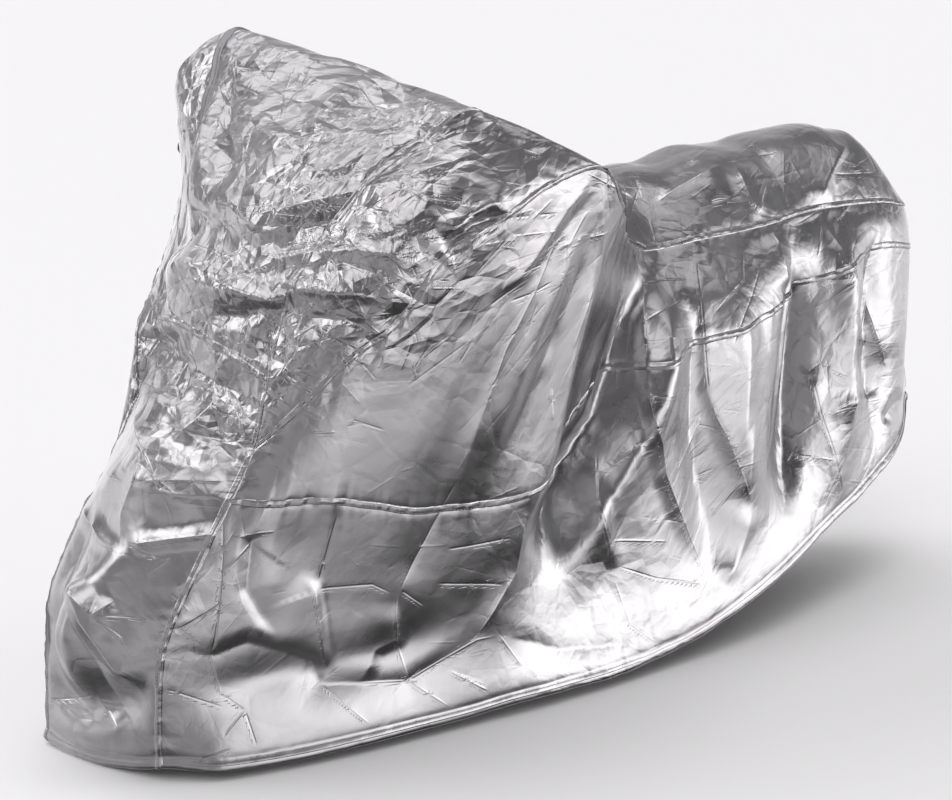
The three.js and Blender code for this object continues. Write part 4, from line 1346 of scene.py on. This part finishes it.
def cloth_material(name, dark, light, roughness):
    """Silver coated cloth: metal film on a fine weave, crumpled into small facets, with highlight and shade
    painted along its thin creases.
    """
    material, shader, made = new_material(name)
    place = made.add("ShaderNodeTexCoord").outputs["Object"]
    crumple = made.attribute(CRUMPLE)
    pulled = made.attribute(PULLED, "Vector")
    height = None
    for cell, turn, rise in CRUMPLE_LAYERS:
        facets = made.math("MULTIPLY", made.facets(pulled, cell, turn), rise)
        height = facets if height is None else made.math("ADD", height, facets)
    for scale, rise in WRINKLE_LAYERS:
        swing = made.math("SUBTRACT", made.noise(pulled, scale, WRINKLE_DETAIL), NOISE_MIDDLE)
        wrinkle = made.math("MULTIPLY", made.math("ABSOLUTE", swing), -rise * WRINKLE_STEEP)
        height = made.math("ADD", height, wrinkle)
    height = made.math("MULTIPLY", height, crumple)
    far = made.math("ABSOLUTE", made.attribute(THIN_FAR))
    thin = made.math("MULTIPLY", made.span(far, 0.0, THIN_HALF, 1.0, 0.0), made.attribute(THIN_SHARE))
    height = made.math("ADD", height, made.math("MULTIPLY", thin, THIN_HEIGHT))
    weave = made.math("MULTIPLY", made.noise(place, WEAVE_SCALE, WEAVE_DETAIL), WEAVE_RISE)
    height = made.math("ADD", height, weave)
    bump = made.add("ShaderNodeBump", {"Strength": 1.0, "Distance": 1.0, "Height": height})
    made.feed(shader.inputs["Normal"], bump.outputs["Normal"])
    wear = made.noise(place, WEAR_SCALE, WEAR_DETAIL)
    made.feed(shader.inputs["Roughness"], made.span(wear, *WEAR_SPAN, *roughness))
    # Colour: random wear, plus painted highlight along thin ridges and painted shade along thin grooves where
    # the cloth faces the main view
    wear_and_crease_light = made.math("ADD", wear, made.math("MULTIPLY", thin, THIN_PAINTED_LIGHT))
    made.feed(shader.inputs["Base Color"], made.mix(wear_and_crease_light, dark, light))
    shader.inputs["Metallic"].default_value = METALLIC
    return material


def thread_material():
    """Grey thread with a twist along it."""
    material, shader, made = new_material("grey_thread")
    place = made.add("ShaderNodeTexCoord").outputs["Object"]
    twist = made.noise(place, THREAD_SCALE, THREAD_DETAIL)
    made.feed(shader.inputs["Base Color"], made.mix(twist, THREAD_DARK, THREAD_LIGHT))
    shader.inputs["Roughness"].default_value = THREAD_ROUGHNESS
    return material


def seam_turned(band, out):
    """True where the strip's own faces already look outward."""
    row = len(band) // 2
    along = band[row] - band[row - 1]
    middle = band.shape[1] // 2
    over = band[row, middle + 1] - band[row, middle - 1]
    return np.dot(np.cross(along[middle], over), out[row]) > 0


def join_cover(piece):
    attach(piece, BODY)


def add_band(name, band, out, material, crumple=None):
    """Strip over a seam, as a piece of the cover."""
    quads = grid_quads(*band.shape[:2], not seam_turned(band, out))
    join_cover(add_mesh(name, band.reshape(-1, 3), quads, material, crumple=crumple))


# The cover: seam bands, tapes, sheets and stitches
stations = column_stations()
panels = panel_grids(stations)
shared_normals(panels)
dress(panels)
silver = cloth_material("silver_cloth", COATING_DARK, COATING_LIGHT, ROUGHNESS)
grey = cloth_material("grey_tape", TAPE_DARK, TAPE_LIGHT, TAPE_ROUGHNESS)
thread = thread_material()

thread_rows = []
seams = seam_list(stations)
for seam_name, seam in seams.items():
    band, out = band_grid(panels, seam, BAND_PROFILE, LADDER_RISE)
    add_band(f"seam_{seam_name}", band, out, silver)
    for column in (STITCH_COLUMN, -1 - STITCH_COLUMN):
        thread_rows.append(stitch_row(band[:, column], out))

for tape_name, seam_name, start, end in TAPES:
    tape, out = band_grid(panels, seams[seam_name], TAPE_PROFILE, 0)
    part = slice(round(start * len(tape)), round(end * len(tape)))
    add_band(f"tape_{tape_name}", tape[part], out[part], grey, TAPE_CRUMPLE)

for panel_name, panel in panels.items():
    cloth_grid, thin_grid = with_lip(panel)
    quads = grid_quads(*cloth_grid.shape[:2], panel["turned"])
    places = cloth_grid.reshape(-1, 3)
    piece = add_mesh(f"cloth_{panel_name}", places, quads, silver, thin=thin_grid.reshape(-1, 2))
    join_cover(piece)
    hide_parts(panel_name)
    if panel["hem"]:
        lines, normals = edge_lines(panels, (panel_name, panel["hem"], slice(None)), HEM_LINES)
        inward = lines.transpose(1, 0, 2)
        thread_rows.append(stitch_row(at_distance(inward, HEM_STITCH_HEIGHT), normals[0]))
join_cover(add_stitches("stitches", thread_rows, thread))

# Floor, light and camera
floor_mesh = bpy.data.meshes.new("floor")
corners = [(x * FLOOR_HALF, y * FLOOR_HALF, 0) for x, y in ((-1, -1), (1, -1), (1, 1), (-1, 1))]
floor_mesh.from_pydata(corners, [], [(0, 1, 2, 3)])
pale, floor_shader, _ = new_material("pale_floor")
floor_shader.inputs["Base Color"].default_value = (*FLOOR_COLOUR, 1)
floor_shader.inputs["Roughness"].default_value = FLOOR_ROUGHNESS
floor_mesh.materials.append(pale)
floor = bpy.data.objects.new("floor", floor_mesh)
bpy.context.scene.collection.objects.link(floor)
floor.visible_glossy = False

bpy.context.scene.view_settings.view_transform = "Standard"
world = bpy.data.worlds.new("studio")
bpy.context.scene.world = world
world.use_nodes = True
dome = Nodes(world.node_tree)
outward = dome.add("ShaderNodeTexCoord").outputs["Generated"]
glow = DOME_GLOW
for _, *angles, adds in DOME_LIGHTS:
    azimuth, elevation, outer, inner = map(math.radians, angles)
    level = math.cos(elevation)
    way = (level * math.cos(azimuth), level * math.sin(azimuth), math.sin(elevation))
    cosine = dome.dot(outward, way)
    glow = dome.math("ADD", glow, dome.span(cosine, math.cos(outer), math.cos(inner), 0.0, adds))
background = world.node_tree.nodes["Background"]
background.inputs["Color"].default_value = (*DOME_TINT, 1)
dome.feed(background.inputs["Strength"], dome.math("MAXIMUM", glow, DOME_LEAST))

back = view_axes()[2]
lens = bpy.data.cameras.new("camera")
lens.sensor_width = SENSOR_WIDTH
lens.lens = SENSOR_WIDTH * FOCAL_PIXELS / IMAGE_WIDTH
camera = bpy.data.objects.new("camera", lens)
camera.location = (VIEW_TARGET + VIEW_DISTANCE * back + FRAME_SHIFT) * MM
camera.rotation_mode = "QUATERNION"
camera.rotation_quaternion = Vector(-back).to_track_quat("-Z", "Y")
bpy.context.scene.collection.objects.link(camera)
bpy.context.scene.camera = camera
